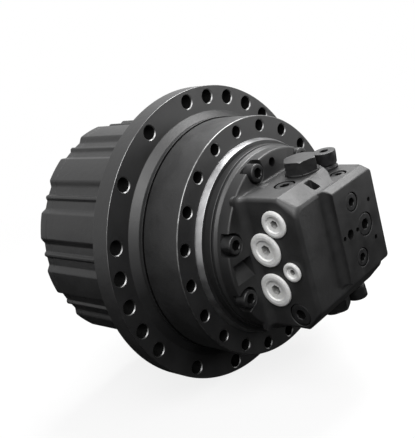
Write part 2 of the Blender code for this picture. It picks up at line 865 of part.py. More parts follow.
def make_bearing_nut():
    """Slotted ring nut that sets the bearing preload."""
    end = nut_start + nut_width
    bore = nut_seat_radius + seat_gap
    outline = [(bore, nut_start), (nut_radius, nut_start), (nut_radius, end), (bore, end)]
    nut = turned("bearing_nut", outline, machined_steel)
    slots = []
    for index in range(nut_slot_count):
        low = (nut_radius - nut_slot_depth, nut_start - cut_overrun, -nut_slot_width / 2)
        high = (nut_radius + cut_overrun, end + cut_overrun, nut_slot_width / 2)
        slot = box(low, high)
        turn = Matrix.Rotation(2 * pi * index / nut_slot_count, 3, "Y")
        bmesh.ops.rotate(slot, verts=slot.verts, cent=(0, 0, 0), matrix=turn)
        slots.append(slot)
    return combine(nut, joined(slots), "DIFFERENCE")


def make_floating_seal():
    """Two lapped metal rings face to face, each backed by a rubber ring."""
    middle = case_length + hub_gap / 2
    for half, way in (("fixed", -1), ("moving", 1)):
        face = middle + way * seat_gap / 2
        back = face + way * seal_ring_depth
        ring = [
            (seal_face_inner, face),
            (seal_face_outer, face),
            (seal_back_radius, back),
            (seal_face_inner, back),
        ]
        turned(f"seal_ring_{half}", ring, machined_steel)
        lean = (seal_face_outer - seal_back_radius) / seal_ring_depth
        groove_flat = seal_groove_radius * cos(pi / outer_steps)
        centre_radius = groove_flat - seat_gap - toric_radius
        slant = sqrt(1 + lean * lean)
        reach = (toric_radius + seat_gap) * slant
        depth = (seal_face_outer + reach - centre_radius) / lean
        centre = face + way * depth
        sides = [2 * pi * i / toric_sides for i in range(toric_sides)]
        round_section = [(toric_radius * cos(side), toric_radius * sin(side)) for side in sides]
        section = [(centre_radius + out, centre + along) for out, along in round_section]
        turned(f"seal_toric_{half}", section, seal_rubber)


# Planetary stages

def make_planets(stage):
    """Planet gears with plain bores, each with its origin on its own pin."""
    start = stage_start[stage]
    for index in range(planet_count[stage]):
        teeth = external_teeth(planet_teeth[stage], planet_phase(stage, index))
        bore = circle(planet_pin_radius[stage] + 2 * running_gap, small_steps)
        gear = plate([teeth, bore], start, start + stage_width[stage])
        place = round_place(centre_distance(stage), planet_angle(stage, index), 0)
        add_object(f"planet_{stage}_{index + 1}", gear, gear_steel, place)


def make_carrier(stage, bore_radius):
    """Carrier plate with a pin for each planet."""
    start = carrier_start[stage]
    end = start + carrier_thickness[stage]
    rim = carrier_radius[stage]
    outline = [(bore_radius, start), (rim, start), (rim, end), (bore_radius, end)]
    carrier = turned(f"carrier_{stage}", outline, gear_steel)
    pins = []
    for index in range(planet_count[stage]):
        pin_end = stage_start[stage] + stage_width[stage] - seat_gap
        pin = plate([circle(planet_pin_radius[stage], small_steps)], end - cut_overrun, pin_end)
        pins.append(at(pin, round_place(centre_distance(stage), planet_angle(stage, index), 0)))
    return combine(carrier, joined(pins), "UNION")


def make_suns():
    """Second sun with its splined neck, and first sun on its long shank."""
    start = stage_start[2]
    end = start + stage_width[2]
    neck_end = carrier_start[1] + carrier_thickness[1]
    sun = plate([external_teeth(sun_teeth[2], sun_phase(2))], start, end)
    second = add_object("sun_2", sun, gear_steel)
    neck = plate([circle(sun_2_spline_radius, inner_steps)], end - cut_overrun, neck_end)
    combine(second, neck, "UNION")
    bore = plate([circle(sun_2_bore, small_steps)], start - cut_overrun, neck_end + cut_overrun)
    combine(second, bore, "DIFFERENCE")
    teeth = plate([external_teeth(sun_teeth[1], sun_phase(1))], stage_start[1], sun_1_end)
    first = add_object("sun_1", teeth, gear_steel)
    shank = plate([circle(sun_1_shank_radius, small_steps)], sun_1_shank_end, stage_start[1] + cut_overrun)
    return combine(first, shank, "UNION")


# Hydraulic motor

def make_motor_shaft():
    """Drive shaft with a socket that the first sun's shank slides into."""
    socket_bore = sun_1_shank_radius + seat_gap
    socket_floor = sun_1_shank_end - seat_gap
    outline = [(0, shaft_tail), (shaft_radius, shaft_tail), (shaft_radius, shaft_socket_start),
               (shaft_socket_radius, shaft_socket_start), (shaft_socket_radius, shaft_socket_end),
               (socket_bore, shaft_socket_end), (socket_bore, socket_floor), (0, socket_floor)]
    turned("motor_shaft", outline, machined_steel, small_steps)
    bearing = [(shaft_radius + seat_gap, chamber_end), (shaft_bearing_radius - seat_gap, chamber_end),
               (shaft_bearing_radius - seat_gap, chamber_end + shaft_bearing_width - seat_gap),
               (shaft_radius + running_gap, chamber_end + shaft_bearing_width - seat_gap)]
    turned("shaft_bearing", bearing, machined_steel)


def make_cylinder_block():
    """Rotating cylinder block with the heads of its nine pistons."""
    bore = shaft_radius + seat_gap
    end = block_start + block_length
    outline = [(bore, block_start), (block_radius, block_start), (block_radius, end), (bore, end)]
    block = turned("cylinder_block", outline, machined_steel)
    pistons = []
    for index in range(piston_count):
        centre = round_place(piston_circle_radius, 2 * pi * index / piston_count, 0)
        piston = plate([circle(piston_radius, piston_steps)], end - cut_overrun, end + piston_reach)
        pistons.append(at(piston, centre))
    return combine(block, joined(pistons), "UNION")


def make_swash_plate():
    """Tilted plate that sets the stroke; it swings on two trunnions across its centre."""
    half = swash_thickness / 2
    outline = [(swash_bore, -half), (swash_radius, -half), (swash_radius, half), (swash_bore, half)]
    swash = turned("swash_plate", outline, bronze, place=(0, swash_centre, 0))
    swash.rotation_euler = (swash_rest_angle, 0, 0)
    reach = chamber_radius - swash_trunnion_radius * tan(pi / inner_steps) - seat_gap
    root = swash_radius * swash_trunnion_root_share
    trunnions = []
    for side in (-1, 1):
        trunnion = plate([circle(swash_trunnion_radius, small_steps)], -reach, -root)
        trunnions.append(turned_to(trunnion, (side, 0, 0), (0, swash_centre, 0)))
    return combine(swash, joined(trunnions), "UNION")


def make_valve_plate():
    """Flat plate between the cylinder block and the cover."""
    start = cover_flange_start + seat_gap
    end = block_start - seat_gap
    bore, rim = valve_plate_bore, valve_plate_radius
    outline = [(bore, start), (rim, start), (rim, end), (bore, end)]
    turned("valve_plate", outline, bronze)


def make_brake():
    """Parking brake: the piston presses the disc on the cylinder block against a fixed plate."""
    plate_start = brake_disc_start + brake_disc_thickness + seat_gap
    rim = chamber_radius - running_gap
    plate_end = plate_start + brake_plate_thickness
    disc_bore = block_radius + seat_gap
    disc_end = brake_disc_start + brake_disc_thickness
    disc = [
        (disc_bore, brake_disc_start),
        (brake_disc_radius, brake_disc_start),
        (brake_disc_radius, disc_end),
        (disc_bore, disc_end),
    ]
    turned("brake_disc", disc, bronze)
    fixed = [
        (brake_plate_inner, plate_start),
        (rim, plate_start),
        (rim, plate_end),
        (brake_plate_inner, plate_end),
    ]
    turned("brake_plate", fixed, machined_steel)
    piston_end = brake_disc_start - seat_gap
    piston = [(brake_piston_inner, brake_piston_start), (rim, brake_piston_start), (rim, piston_end),
              (brake_piston_inner, piston_end)]
    turned("brake_piston", piston, machined_steel)


# Valve cover

def block_outline(top, run, front_top):
    """Side view of the block: flat top, sloping chamfer, front face, lower chamfer."""
    back = cover_flange_face + cover_lip
    lower_run = block_front + (block_front_bottom - block_bottom)
    return [(back, block_bottom), (back, top), (run, top), (block_front, front_top),
            (block_front, block_front_bottom), (lower_run, block_bottom)]


def bevelled(shape, width):
    """Round the sharp edges of a casting a little."""
    bmesh.ops.recalc_face_normals(shape, faces=shape.faces)
    sharp = [edge for edge in shape.edges if edge.calc_face_angle(0) > radians(20)]
    bmesh.ops.bevel(shape, geom=sharp, offset=width, offset_type="OFFSET", segments=1, profile=0.5,
                    affect="EDGES")
    return shape


def make_valve_cover():
    """Round flange, port block and raised pad in one casting."""
    face = cover_flange_face
    start = cover_flange_start
    outline = [
        (0, start),
        (cover_flange_rim_radius, start),
        (cover_flange_rim_radius, start - cover_lip),
        (cover_flange_radius, start - 2 * cover_lip),
        (cover_flange_radius, face),
        (0, face),
    ]
    cover = turned("valve_cover", outline, black_paint, outer_steps)
    left = slab(block_outline(block_top, block_top_run, block_front_top), -block_half_width, block_step_place)
    low_outline = block_outline(block_low_top, block_low_run, block_front_top)
    right = slab(low_outline, block_step_place - cut_overrun, block_half_width)
    pad_back = block_front + cut_overrun
    pad_outline = [
        (pad_back, pad_bottom),
        (pad_back, block_low_top),
        (block_low_run, block_low_top),
        (pad_front, pad_top),
        (pad_front, pad_bottom),
    ]
    pad = slab(pad_outline, pad_left, pad_right)
    combine(cover, bevelled(left, block_bevel), "UNION")
    combine(cover, terrace_cut(), "DIFFERENCE")
    combine(cover, bevelled(right, block_bevel), "UNION")
    combine(cover, bevelled(pad, block_bevel / 2), "UNION")
    combine(cover, joined(cover_cuts()), "DIFFERENCE")
    return combine(cover, joined(port_cuts()), "DIFFERENCE")


def terrace_cut():
    """The lower terrace reaches across the front of the block, behind a slanted edge."""
    beyond = block_step_place + cut_overrun
    front = block_front - cut_overrun
    corners = [(beyond, terrace_back), (block_step_place, terrace_back), terrace_knee, (terrace_tip, front),
               (beyond, front)]
    return turned_to(plate([corners], -block_top - cut_overrun, -block_low_top), (0, 0, 1), (0, 0, 0))


def cover_cuts():
    """Screw pockets, the cast valley, the casting hole, the chamfer pocket and the shaft bore."""
    cuts = []
    for angle in screw_angles:
        floor = screw_seat + screw_shank_length + seat_gap
        outline = [
            (0, cover_flange_face - cut_overrun),
            (screw_pocket_radius, cover_flange_face - cut_overrun),
            (screw_pocket_radius, screw_seat),
            (screw_shank_hole_radius, screw_seat),
            (screw_shank_hole_radius, floor),
            (0, floor),
        ]
        cuts.append(at(spun(outline, small_steps), round_place(screw_circle_radius, angle, 0)))
    valley_floor = cover_flange_face + valley_depth
    cuts.append(box((-cover_flange_rim_radius - cut_overrun, cover_flange_face - cut_overrun, valley_bottom),
                    (valley_inner, valley_floor, valley_top)))
    hole = pocket(casting_hole_radius, casting_hole_depth, hole_steps)
    cuts.append(at(hole, (0, cover_flange_face, screw_circle_radius - screw_shank_hole_radius / 3)))
    cuts.append(box((chamfer_pocket_left, chamfer_pocket_near, chamfer_pocket_floor),
                    (chamfer_pocket_right, chamfer_pocket_far, block_top + cut_overrun)))
    bore_end = cover_flange_start - shaft_tail_depth
    cuts.append(plate([circle(shaft_tail_bore, small_steps)], bore_end, cover_flange_start + cut_overrun))
    return cuts


def plug_pocket(size):
    """The counterbore that a flush plug sits in."""
    return pocket(size / 2 + seat_gap, flush_plug_depth + seat_gap)


def port_cuts():
    """The bores behind the plugs, the small port and the tapped holes."""
    left, top, bottom = (-1, 0, 0), (0, 0, 1), (0, 0, -1)
    cuts = []
    for name, size in port_plug_sizes.items():
        bore = pocket(size / 2 * port_plug_stem_share + seat_gap, port_bore_depth)
        cuts.append(turned_to(bore, left, side_place(*port_plug_place_shares[name])))
    cuts.append(turned_to(plug_pocket(side_plug_size), left, side_place(*side_plug_place_shares)))
    for name, size in end_plug_sizes.items():
        cuts.append(at(plug_pocket(size), pad_place(*end_plug_place_shares[name])))
    port = pocket(end_port_size / 2, end_port_depth, hole_steps)
    cuts.append(at(port, pad_place(*end_port_place_shares)))
    for shares in end_tap_place_shares:
        cuts.append(at(pocket(end_tap_size / 2, end_tap_depth, hole_steps), pad_place(*shares)))
    high = top_place(high_part, *high_plug_place_shares, block_top)
    cuts.append(turned_to(plug_pocket(high_plug_size), top, high))
    low = top_place(low_part, *low_plug_place_shares, block_low_top)
    cuts.append(turned_to(plug_pocket(low_plug_size), top, low))
    for towards, height in ((top, block_low_top), (bottom, block_bottom)):
        relief = pocket(relief_stem_radius + seat_gap, relief_stem_length + seat_gap)
        cuts.append(turned_to(relief, towards, top_place(low_part, *relief_place_shares, height)))
    mouth = hex_plug_stem_radius + seat_gap
    lower = block_bottom + hex_plug_stem_length + seat_gap
    upper = block_top - hex_plug_stem_length - seat_gap
    bore = [
        (0, block_bottom - cut_overrun),
        (mouth, block_bottom - cut_overrun),
        (mouth, lower),
        (spool_bore_radius, lower),
        (spool_bore_radius, upper),
        (mouth, upper),
        (mouth, block_top + cut_overrun),
        (0, block_top + cut_overrun),
    ]
    cuts.append(turned_to(spun(bore, small_steps), bottom, top_place(high_part, *spool_place_shares, 0)))
    return cuts


def make_cover_screws():
    """Socket head cap screws in the pockets of the round flange."""
    for index, angle in enumerate(screw_angles):
        seat = screw_seat - seat_gap
        top = seat - screw_head_height
        outline = [
            (0, top),
            (screw_head_radius, top),
            (screw_head_radius, seat),
            (screw_shank_radius, seat),
            (screw_shank_radius, seat + screw_shank_length),
            (0, seat + screw_shank_length),
        ]
        place = round_place(screw_circle_radius, angle, 0)
        screw = turned(f"cover_screw_{index + 1}", outline, black_oxide, hole_steps, place)
        socket = plate([hexagon(screw_hex_across_flats, angle)], top - cut_overrun, top + screw_hex_depth)
        combine(screw, at(socket, place), "DIFFERENCE")


def make_port_plugs():
    """Moulded plastic plugs: a rounded rim, a dished face, a hexagon socket and a stem."""
    for name, size in port_plug_sizes.items():
        radius = size / 2
        rim = port_plug_rim
        stem = radius * port_plug_stem_share
        outline = [(0, -rim), (radius - rim / 2, -rim), (radius, -rim / 2), (radius, -seat_gap),
                   (stem, -seat_gap), (stem, port_plug_stem_length), (0, port_plug_stem_length)]
        shape = turned_to(spun(outline, small_steps), (-1, 0, 0), (0, 0, 0))
        place = side_place(*port_plug_place_shares[name])
        plug = add_object(name, shape, white_plastic, place)
        hexagonal = hexagon(size * port_plug_socket_share)
        socket = plate([hexagonal], -rim - cut_overrun, -rim + port_plug_socket_depth)
        combine(plug, turned_to(socket, (-1, 0, 0), place), "DIFFERENCE")


def make_flush_plug(name, size, towards, place):
    """Socket plug that sits just below the face it closes."""
    top = flush_plug_recess
    outline = [(0, top), (size / 2, top), (size / 2, flush_plug_depth), (0, flush_plug_depth)]
    shape = turned_to(spun(outline, small_steps), towards, (0, 0, 0))
    plug = add_object(name, shape, black_oxide, place)
    hexagonal = hexagon(size * flush_plug_socket_share)
    socket = plate([hexagonal], top - cut_overrun, top + flush_plug_socket_depth)
    return combine(plug, turned_to(socket, towards, place), "DIFFERENCE")


def make_flush_plugs():
    make_flush_plug("side_plug", side_plug_size, (-1, 0, 0), side_place(*side_plug_place_shares))
    for name, size in end_plug_sizes.items():
        make_flush_plug(name, size, (0, -1, 0), pad_place(*end_plug_place_shares[name]))
    high = top_place(high_part, *high_plug_place_shares, block_top)
    make_flush_plug("top_plug_high", high_plug_size, (0, 0, 1), high)
    low = top_place(low_part, *low_plug_place_shares, block_low_top)
    make_flush_plug("top_plug_low", low_plug_size, (0, 0, 1), low)


def make_hex_plug(name, towards, height):
    """Large hexagon plug that closes one end of the spool bore."""
    collar = -seat_gap - hex_plug_collar_height
    stem = [
        (0, -hex_plug_collar_height),
        (hex_plug_stem_radius, -hex_plug_collar_height),
        (hex_plug_stem_radius, hex_plug_stem_length),
        (0, hex_plug_stem_length),
    ]
    hexagonal = hexagon(hex_plug_across_flats)
    head = plate([hexagonal], collar - hex_plug_head, collar + hex_plug_collar_height / 2)
    place = top_place(high_part, *spool_place_shares, height)
    plug = add_object(name, turned_to(head, towards, (0, 0, 0)), black_oxide, place)
    collar_ring = plate([circle(hex_plug_collar, small_steps)], collar, -seat_gap)
    combine(plug, turned_to(collar_ring, towards, place), "UNION")
    return combine(plug, turned_to(spun(stem, small_steps), towards, place), "UNION")


def make_relief_cap(name, towards, height):
    """Relief valve cap: a waisted cylinder with a hexagon socket."""
    top = -seat_gap - relief_cap_height
    waist_top = -seat_gap - relief_waist_height
    outline = [
        (0, top),
        (relief_cap_radius, top),
        (relief_cap_radius, waist_top),
        (relief_waist_radius, waist_top),
        (relief_waist_radius, -seat_gap),
        (relief_stem_radius, -seat_gap),
        (relief_stem_radius, relief_stem_length),
        (0, relief_stem_length),
    ]
    place = top_place(low_part, *relief_place_shares, height)
    cap = add_object(name, turned_to(spun(outline, small_steps), towards, (0, 0, 0)), black_oxide, place)
    socket = plate([hexagon(relief_socket_across_flats)], top - cut_overrun, top + relief_socket_depth)
    return combine(cap, turned_to(socket, towards, place), "DIFFERENCE")


def make_spool():
    """Counterbalance spool that slides in the bore between the two hexagon plugs."""
    half = spool_half_length
    neck = spool_groove_radius
    outline = [
        (0, -half),
        (spool_radius, -half),
        (spool_radius, -half + spool_land),
        (neck, -half + spool_land),
        (neck, -spool_land / 2),
        (spool_radius, -spool_land / 2),
        (spool_radius, spool_land / 2),
        (neck, spool_land / 2),
        (neck, half - spool_land),
        (spool_radius, half - spool_land),
        (spool_radius, half),
        (0, half),
    ]
    middle = (block_top + block_bottom) / 2
    shape = turned_to(spun(outline, small_steps), (0, 0, 1), (0, 0, 0))
    place = top_place(high_part, *spool_place_shares, middle)
    add_object("counterbalance_spool", shape, machined_steel, place)


make_motor_case()
make_hub()
make_ring_gear()
make_end_cover()
for number, cover_plug_turn in enumerate(cover_plug_turns):
    make_cover_plug(f"cover_plug_{number + 1}", hub_rest_angle + cover_plug_turn)
make_bearings()
make_bearing_nut()
make_floating_seal()
make_planets(1)
make_planets(2)
make_carrier(1, sun_2_spline_radius + seat_gap)
make_carrier(2, nose_radius + seat_gap)
make_suns()
make_motor_shaft()
make_cylinder_block()
make_swash_plate()
make_valve_plate()
make_brake()
make_valve_cover()
make_cover_screws()
make_port_plugs()
make_flush_plugs()
make_hex_plug("hex_plug_top", (0, 0, 1), block_top)
make_hex_plug("hex_plug_bottom", (0, 0, -1), block_bottom)
make_relief_cap("relief_cap_top", (0, 0, 1), block_low_top)
make_relief_cap("relief_cap_bottom", (0, 0, -1), block_bottom)
make_spool()
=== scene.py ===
# %% [markdown]
# # An excavator's final drive
#
# This is the machine inside an excavator's track sprocket: a hydraulic motor, a planetary
# reducer and a hub that turns. The construction is already fixed by the frame, which is the
# model with the real sizes, joints and mounts. This script only gives it its looks.
#
# The frame is loaded first. Nothing here moves or resizes it. Where the frame's plain faceted
# solid is not fine enough for a close look, a smooth piece takes its place, at the same size.

# %% Load the frame
import json

import bmesh
import bpy
import numpy as np
from mathutils import Matrix, Vector


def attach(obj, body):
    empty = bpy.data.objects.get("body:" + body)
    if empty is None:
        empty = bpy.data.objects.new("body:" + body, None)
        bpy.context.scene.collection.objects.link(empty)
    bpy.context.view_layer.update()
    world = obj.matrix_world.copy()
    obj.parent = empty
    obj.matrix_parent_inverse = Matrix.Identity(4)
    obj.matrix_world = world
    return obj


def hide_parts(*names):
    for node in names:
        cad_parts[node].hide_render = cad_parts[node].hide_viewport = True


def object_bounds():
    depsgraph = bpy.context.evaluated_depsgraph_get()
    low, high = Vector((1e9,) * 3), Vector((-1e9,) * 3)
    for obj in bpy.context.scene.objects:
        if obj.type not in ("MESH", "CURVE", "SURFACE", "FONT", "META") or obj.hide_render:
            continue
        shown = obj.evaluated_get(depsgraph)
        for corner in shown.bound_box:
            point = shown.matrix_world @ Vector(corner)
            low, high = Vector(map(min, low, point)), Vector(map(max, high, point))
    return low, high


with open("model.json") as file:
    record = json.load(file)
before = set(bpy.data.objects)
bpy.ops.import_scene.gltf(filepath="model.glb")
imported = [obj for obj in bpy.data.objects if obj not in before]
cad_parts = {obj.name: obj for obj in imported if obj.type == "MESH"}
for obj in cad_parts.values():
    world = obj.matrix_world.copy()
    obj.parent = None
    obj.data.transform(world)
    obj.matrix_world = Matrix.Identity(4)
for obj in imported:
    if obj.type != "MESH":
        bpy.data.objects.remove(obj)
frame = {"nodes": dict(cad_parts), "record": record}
cad_box = [list(corner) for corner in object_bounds()]
print("frame box", cad_box)

# %% [markdown]
# ## The camera
#
# The photograph shows the drive from the motor's side, from the left and a little above, and
# the camera leans over. Three things fix such a view: the direction to the camera, the
# distance, and where the lens points. The direction is measured from the drive's own axis,
# which is +Y. The lean is the turn of the valve block about that axis, so it is applied last,
# to the camera's place and to its three axes.

# %% Place the camera
photo_height_px = 438
focal_px = 797.5
sensor = 36.0
camera_distance = 1.300
camera_azimuth = np.radians(-46.51)
camera_elevation = np.radians(4.27)
camera_pan = np.radians(1.04)
camera_tilt = np.radians(-0.95)
block_turn = np.radians(22.0)
flange_face = 0.0900


def backwards(azimuth, elevation):
    """The unit vector from the target to the camera: azimuth 0 looks along +Y."""
    level = np.cos(elevation)
    return Vector((np.sin(azimuth) * level, -np.cos(azimuth) * level, np.sin(elevation)))


turn_about_axis = Matrix.Rotation(block_turn, 3, "Y")
away = backwards(camera_azimuth, camera_elevation) * camera_distance
camera_place = turn_about_axis @ away + Vector((0, flange_face, 0))
ahead = -backwards(camera_azimuth + camera_pan, camera_elevation + camera_tilt)
right = ahead.cross(Vector((0, 0, 1))).normalized()
upwards = right.cross(ahead)
axes = Matrix((turn_about_axis @ right, turn_about_axis @ upwards, turn_about_axis @ -ahead))

lens = bpy.data.cameras.new("camera")
lens.sensor_width = sensor
lens.lens = focal_px * sensor / photo_height_px
camera = bpy.data.objects.new("camera", lens)
camera.matrix_world = Matrix.Translation(camera_place) @ axes.transposed().to_4x4()
bpy.context.scene.collection.objects.link(camera)
bpy.context.scene.camera = camera
print("camera at", [round(value, 3) for value in camera_place])

# %% [markdown]
# ## Floor, sky and lamps
#
# The drive is shown on plain white. The sky is white to the camera and to reflections, so bare
# metal shows the same white as the eye sees, and it is dimmer for the diffuse light. The floor
# glows by itself and is lit as well, so the drive's shadow on it stays soft. The glow grows with
# the distance from the drive, until floor and sky can't be told apart. In reflections the floor
# is dark close by, and white only far out, which keeps the undersides of the castings black.
#
# A bright softbox hangs straight above, as seen in the photograph's picture. Satin paint
# mirrors it on every face that is turned up and forward. A wide one stands beside the camera:
# no flat face of the drive mirrors it, so it whitens the plastic plugs and leaves the paint dark.
# The upright faces mirror a third one, low on the right.

# %% Node helpers
def new_material(name):
    """A material whose node tree is still empty."""
    made = bpy.data.materials.new(name)
    made.use_nodes = True
    made.node_tree.nodes.clear()
    return made


def feed(tree, socket, value):
    """Link an input to another node's output, or set it to a plain value."""
    if isinstance(value, bpy.types.NodeSocket):
        tree.links.new(value, socket)
    else:
        socket.default_value = value


def add_node(tree, kind, *inputs, **values):
    """Add a node. Bare values feed its inputs in their order, named ones its settings or inputs.

    A name has underscores where the input's own name has spaces.
    """
    node = tree.nodes.new(kind)
    for key, value in values.items():
        if hasattr(node, key):
            setattr(node, key, value)
        else:
            feed(tree, node.inputs[key.replace("_", " ")], value)
    for socket, value in zip(node.inputs, inputs):
        feed(tree, socket, value)
    return node


def math(tree, operation, *inputs):
    """The output of a Math node."""
    return add_node(tree, "ShaderNodeMath", *inputs, operation=operation).outputs[0]


# %% Floor
floor_size = 12.0
floor_dark = 0.015
floor_white = 0.90
glow_to_eye = (0.84, 0.45, 1.50)
glow_to_mirror = (0.0, 3.20, 5.00)

floor_finish = new_material("floor_white")
tree = floor_finish.node_tree
seen = add_node(tree, "ShaderNodeLightPath").outputs
place = add_node(tree, "ShaderNodeTexCoord").outputs["Object"]
distance = add_node(tree, "ShaderNodeVectorMath", place, operation="LENGTH").outputs["Value"]
glows = []
for ray, (least, near, far) in (("Is Camera Ray", glow_to_eye), ("Is Glossy Ray", glow_to_mirror)):
    reach = add_node(tree, "ShaderNodeMapRange", distance, From_Min=near, From_Max=far, To_Min=least)
    glows.append(math(tree, "MULTIPLY", reach.outputs[0], seen[ray]))
grey = add_node(tree, "ShaderNodeMapRange", seen["Is Camera Ray"], To_Min=floor_dark, To_Max=floor_white)
matt = add_node(tree, "ShaderNodeBsdfDiffuse", grey.outputs[0]).outputs[0]
glow = add_node(tree, "ShaderNodeEmission", Strength=1.0).outputs[0]
blend = add_node(tree, "ShaderNodeMixShader", math(tree, "ADD", *glows), matt, glow)
add_node(tree, "ShaderNodeOutputMaterial", blend.outputs[0])

floor_level = cad_box[0][2]
half = floor_size / 2
corners = [(-half, -half, 0), (half, -half, 0), (half, half, 0), (-half, half, 0)]
floor_mesh = bpy.data.meshes.new("floor")
floor_mesh.from_pydata(corners, [], [(0, 1, 2, 3)])
floor_mesh.materials.append(floor_finish)
floor = bpy.data.objects.new("floor", floor_mesh)
floor.location = (0, flange_face, floor_level)
bpy.context.scene.collection.objects.link(floor)
print("floor at", round(floor_level, 4))

# %% Sky
sky_strength = 0.20

world = bpy.data.worlds.new("sky")
bpy.context.scene.world = world
world.use_nodes = True
tree = world.node_tree
tree.nodes.clear()
seen = add_node(tree, "ShaderNodeLightPath").outputs
eye_or_mirror = math(tree, "MAXIMUM", seen["Is Camera Ray"], seen["Is Glossy Ray"])
seen_at_all = math(tree, "MAXIMUM", eye_or_mirror, seen["Is Transmission Ray"])
level = add_node(tree, "ShaderNodeMapRange", seen_at_all, To_Min=sky_strength, To_Max=1.0)
background = add_node(tree, "ShaderNodeBackground", Color=(1, 1, 1, 1), Strength=level.outputs[0])
add_node(tree, "ShaderNodeOutputWorld", background.outputs[0])
print("sky", sky_strength, "for diffuse light")

# %% Lamps
lamp_distance = 1.6


def soft_lamp(name, direction, size, watts):
    """A square lamp that faces the drive's middle. The direction is that of the upright picture."""
    light = bpy.data.lights.new(name, "AREA")
    light.shape = "SQUARE"
    light.size = size
    light.energy = watts
    lamp = bpy.data.objects.new(name, light)
    way = (turn_about_axis @ Vector(direction)).normalized()
    lamp.location = way * lamp_distance + Vector((0, flange_face, 0))
    lamp.rotation_euler = way.to_track_quat("Z", "Y").to_euler()
    bpy.context.scene.collection.objects.link(lamp)
    print(name, watts, "W")


soft_lamp("lamp_above", direction=(0.14, 0.03, 1.0), size=1.0, watts=46)
soft_lamp("lamp_camera", direction=(-0.90, -0.70, 0.70), size=1.1, watts=24)
soft_lamp("lamp_right", direction=(0.80, -0.70, 0.28), size=0.9, watts=8)

# %% [markdown]
# ## Finishes
#
# The castings wear satin black paint. Close up, such paint is never one flat colour: cast
# skin shows through as a fine grain, turned faces keep faint rings from the lathe, and the
# paint is a little dull in some places and shinier in others. Each finish reads Object
# coordinates, so it sits still on the piece when the piece turns.
#
# The rings on a turned face follow the distance from the drive's axis. The node tree works
# it out as the length of the vector (x, 0, z), scales it, and takes its sine.

# %% Finish helpers
noise_ends = (0.3, 0.7)


def noise_from(tree, place, scale, detail):
    """Noise with so many features per metre."""
    return add_node(tree, "ShaderNodeTexNoise", place, Scale=scale, Detail=detail).outputs["Fac"]


def rings_from(tree, place, per_metre):
    """The sine of the distance from the Y axis, so many waves per metre."""
    parts = add_node(tree, "ShaderNodeSeparateXYZ", place).outputs
    flat = add_node(tree, "ShaderNodeCombineXYZ", X=parts["X"], Z=parts["Z"]).outputs[0]
    distance = add_node(tree, "ShaderNodeVectorMath", flat, operation="LENGTH").outputs["Value"]
    return math(tree, "SINE", math(tree, "MULTIPLY", distance, per_metre * 2 * np.pi))


def finish(name, colours, mottle, bumps, dullness=None, **inputs):
    """A finish: noise spreads two colours, and two roughnesses where given, and bumps are chained.

    The mottle is that noise's (features per metre, detail). A bump is its depth in metres, then
    its features per metre and detail, or only its waves per metre for rings, or nothing more
    where the mottle itself makes the bump. The inputs are the shader's own.
    """
    made = new_material(name)
    tree = made.node_tree
    place = add_node(tree, "ShaderNodeTexCoord").outputs["Object"]
    shader = add_node(tree, "ShaderNodeBsdfPrincipled", **inputs)
    add_node(tree, "ShaderNodeOutputMaterial", shader.outputs[0])
    spread = noise_from(tree, place, *mottle)
    ramp = add_node(tree, "ShaderNodeValToRGB", spread)
    for stop, end, colour in zip(ramp.color_ramp.elements, noise_ends, colours):
        stop.position = end
        stop.color = (*colour, 1)
    feed(tree, shader.inputs["Base Color"], ramp.outputs["Color"])
    if dullness:
        ranged = add_node(tree, "ShaderNodeMapRange", spread, *noise_ends, *dullness)
        feed(tree, shader.inputs["Roughness"], ranged.outputs[0])
    patterns = (lambda tree, place: spread, rings_from, noise_from)
    for depth, *numbers in bumps:
        height = patterns[len(numbers)](tree, place, *numbers)
        bump = add_node(tree, "ShaderNodeBump", Strength=1.0, Distance=depth, Height=height)
        for link in shader.inputs["Normal"].links:
            feed(tree, bump.inputs["Normal"], link.from_socket)
        feed(tree, shader.inputs["Normal"], bump.outputs["Normal"])
    return made


# %% Paints
cast_blacks = ((0.010, 0.010, 0.0102), (0.016, 0.016, 0.0163))
tooled_blacks = ((0.009, 0.009, 0.0092), (0.013, 0.013, 0.0133))
# Near-black painted shade for the walls of holes, sockets and plug seats, and for the gap between hub and
# case.
recess_shade_blacks = ((0.002, 0.002, 0.002), (0.005, 0.005, 0.005))

painted_cast = finish("black_paint_on_casting", cast_blacks, mottle=(34, 5), dullness=(0.45, 0.56),
                      bumps=[(0.000352, 95, 2), (0.00016, 620, 4)])
painted_turned = finish("black_paint_on_turned_face", tooled_blacks, mottle=(22, 4), dullness=(0.40, 0.50),
                        bumps=[(0.000006, 900), (0.00002, 900, 2)])
painted_milled = finish("black_paint_on_milled_face", tooled_blacks, mottle=(45, 4), dullness=(0.34, 0.44),
                        bumps=[(0.00003, 800, 3)])
# This finish is painted shade: recesses get a darker, duller black than the paint.
painted_shade_in_recesses = finish("black_painted_shade_in_recesses", recess_shade_blacks, mottle=(260, 3), bumps=[(0.0001,)],
                      Roughness=0.70, Specular_IOR_Level=0.06)
print("paints for four kinds of face")

# %% Metals
oxide_blacks = ((0.010, 0.010, 0.0105), (0.020, 0.020, 0.0205))
polish_low, polish_high = 0.05, 0.07


def bare_metal(name, dark, pale, roughness):
    """Turned or ground metal with fine rings and a slight uneven shine."""
    return finish(name, (dark, pale), mottle=(60, 4), bumps=[(0.000004, 1500), (0.00003,)],
                  dullness=(roughness - polish_low, roughness + polish_high), Metallic=1.0)


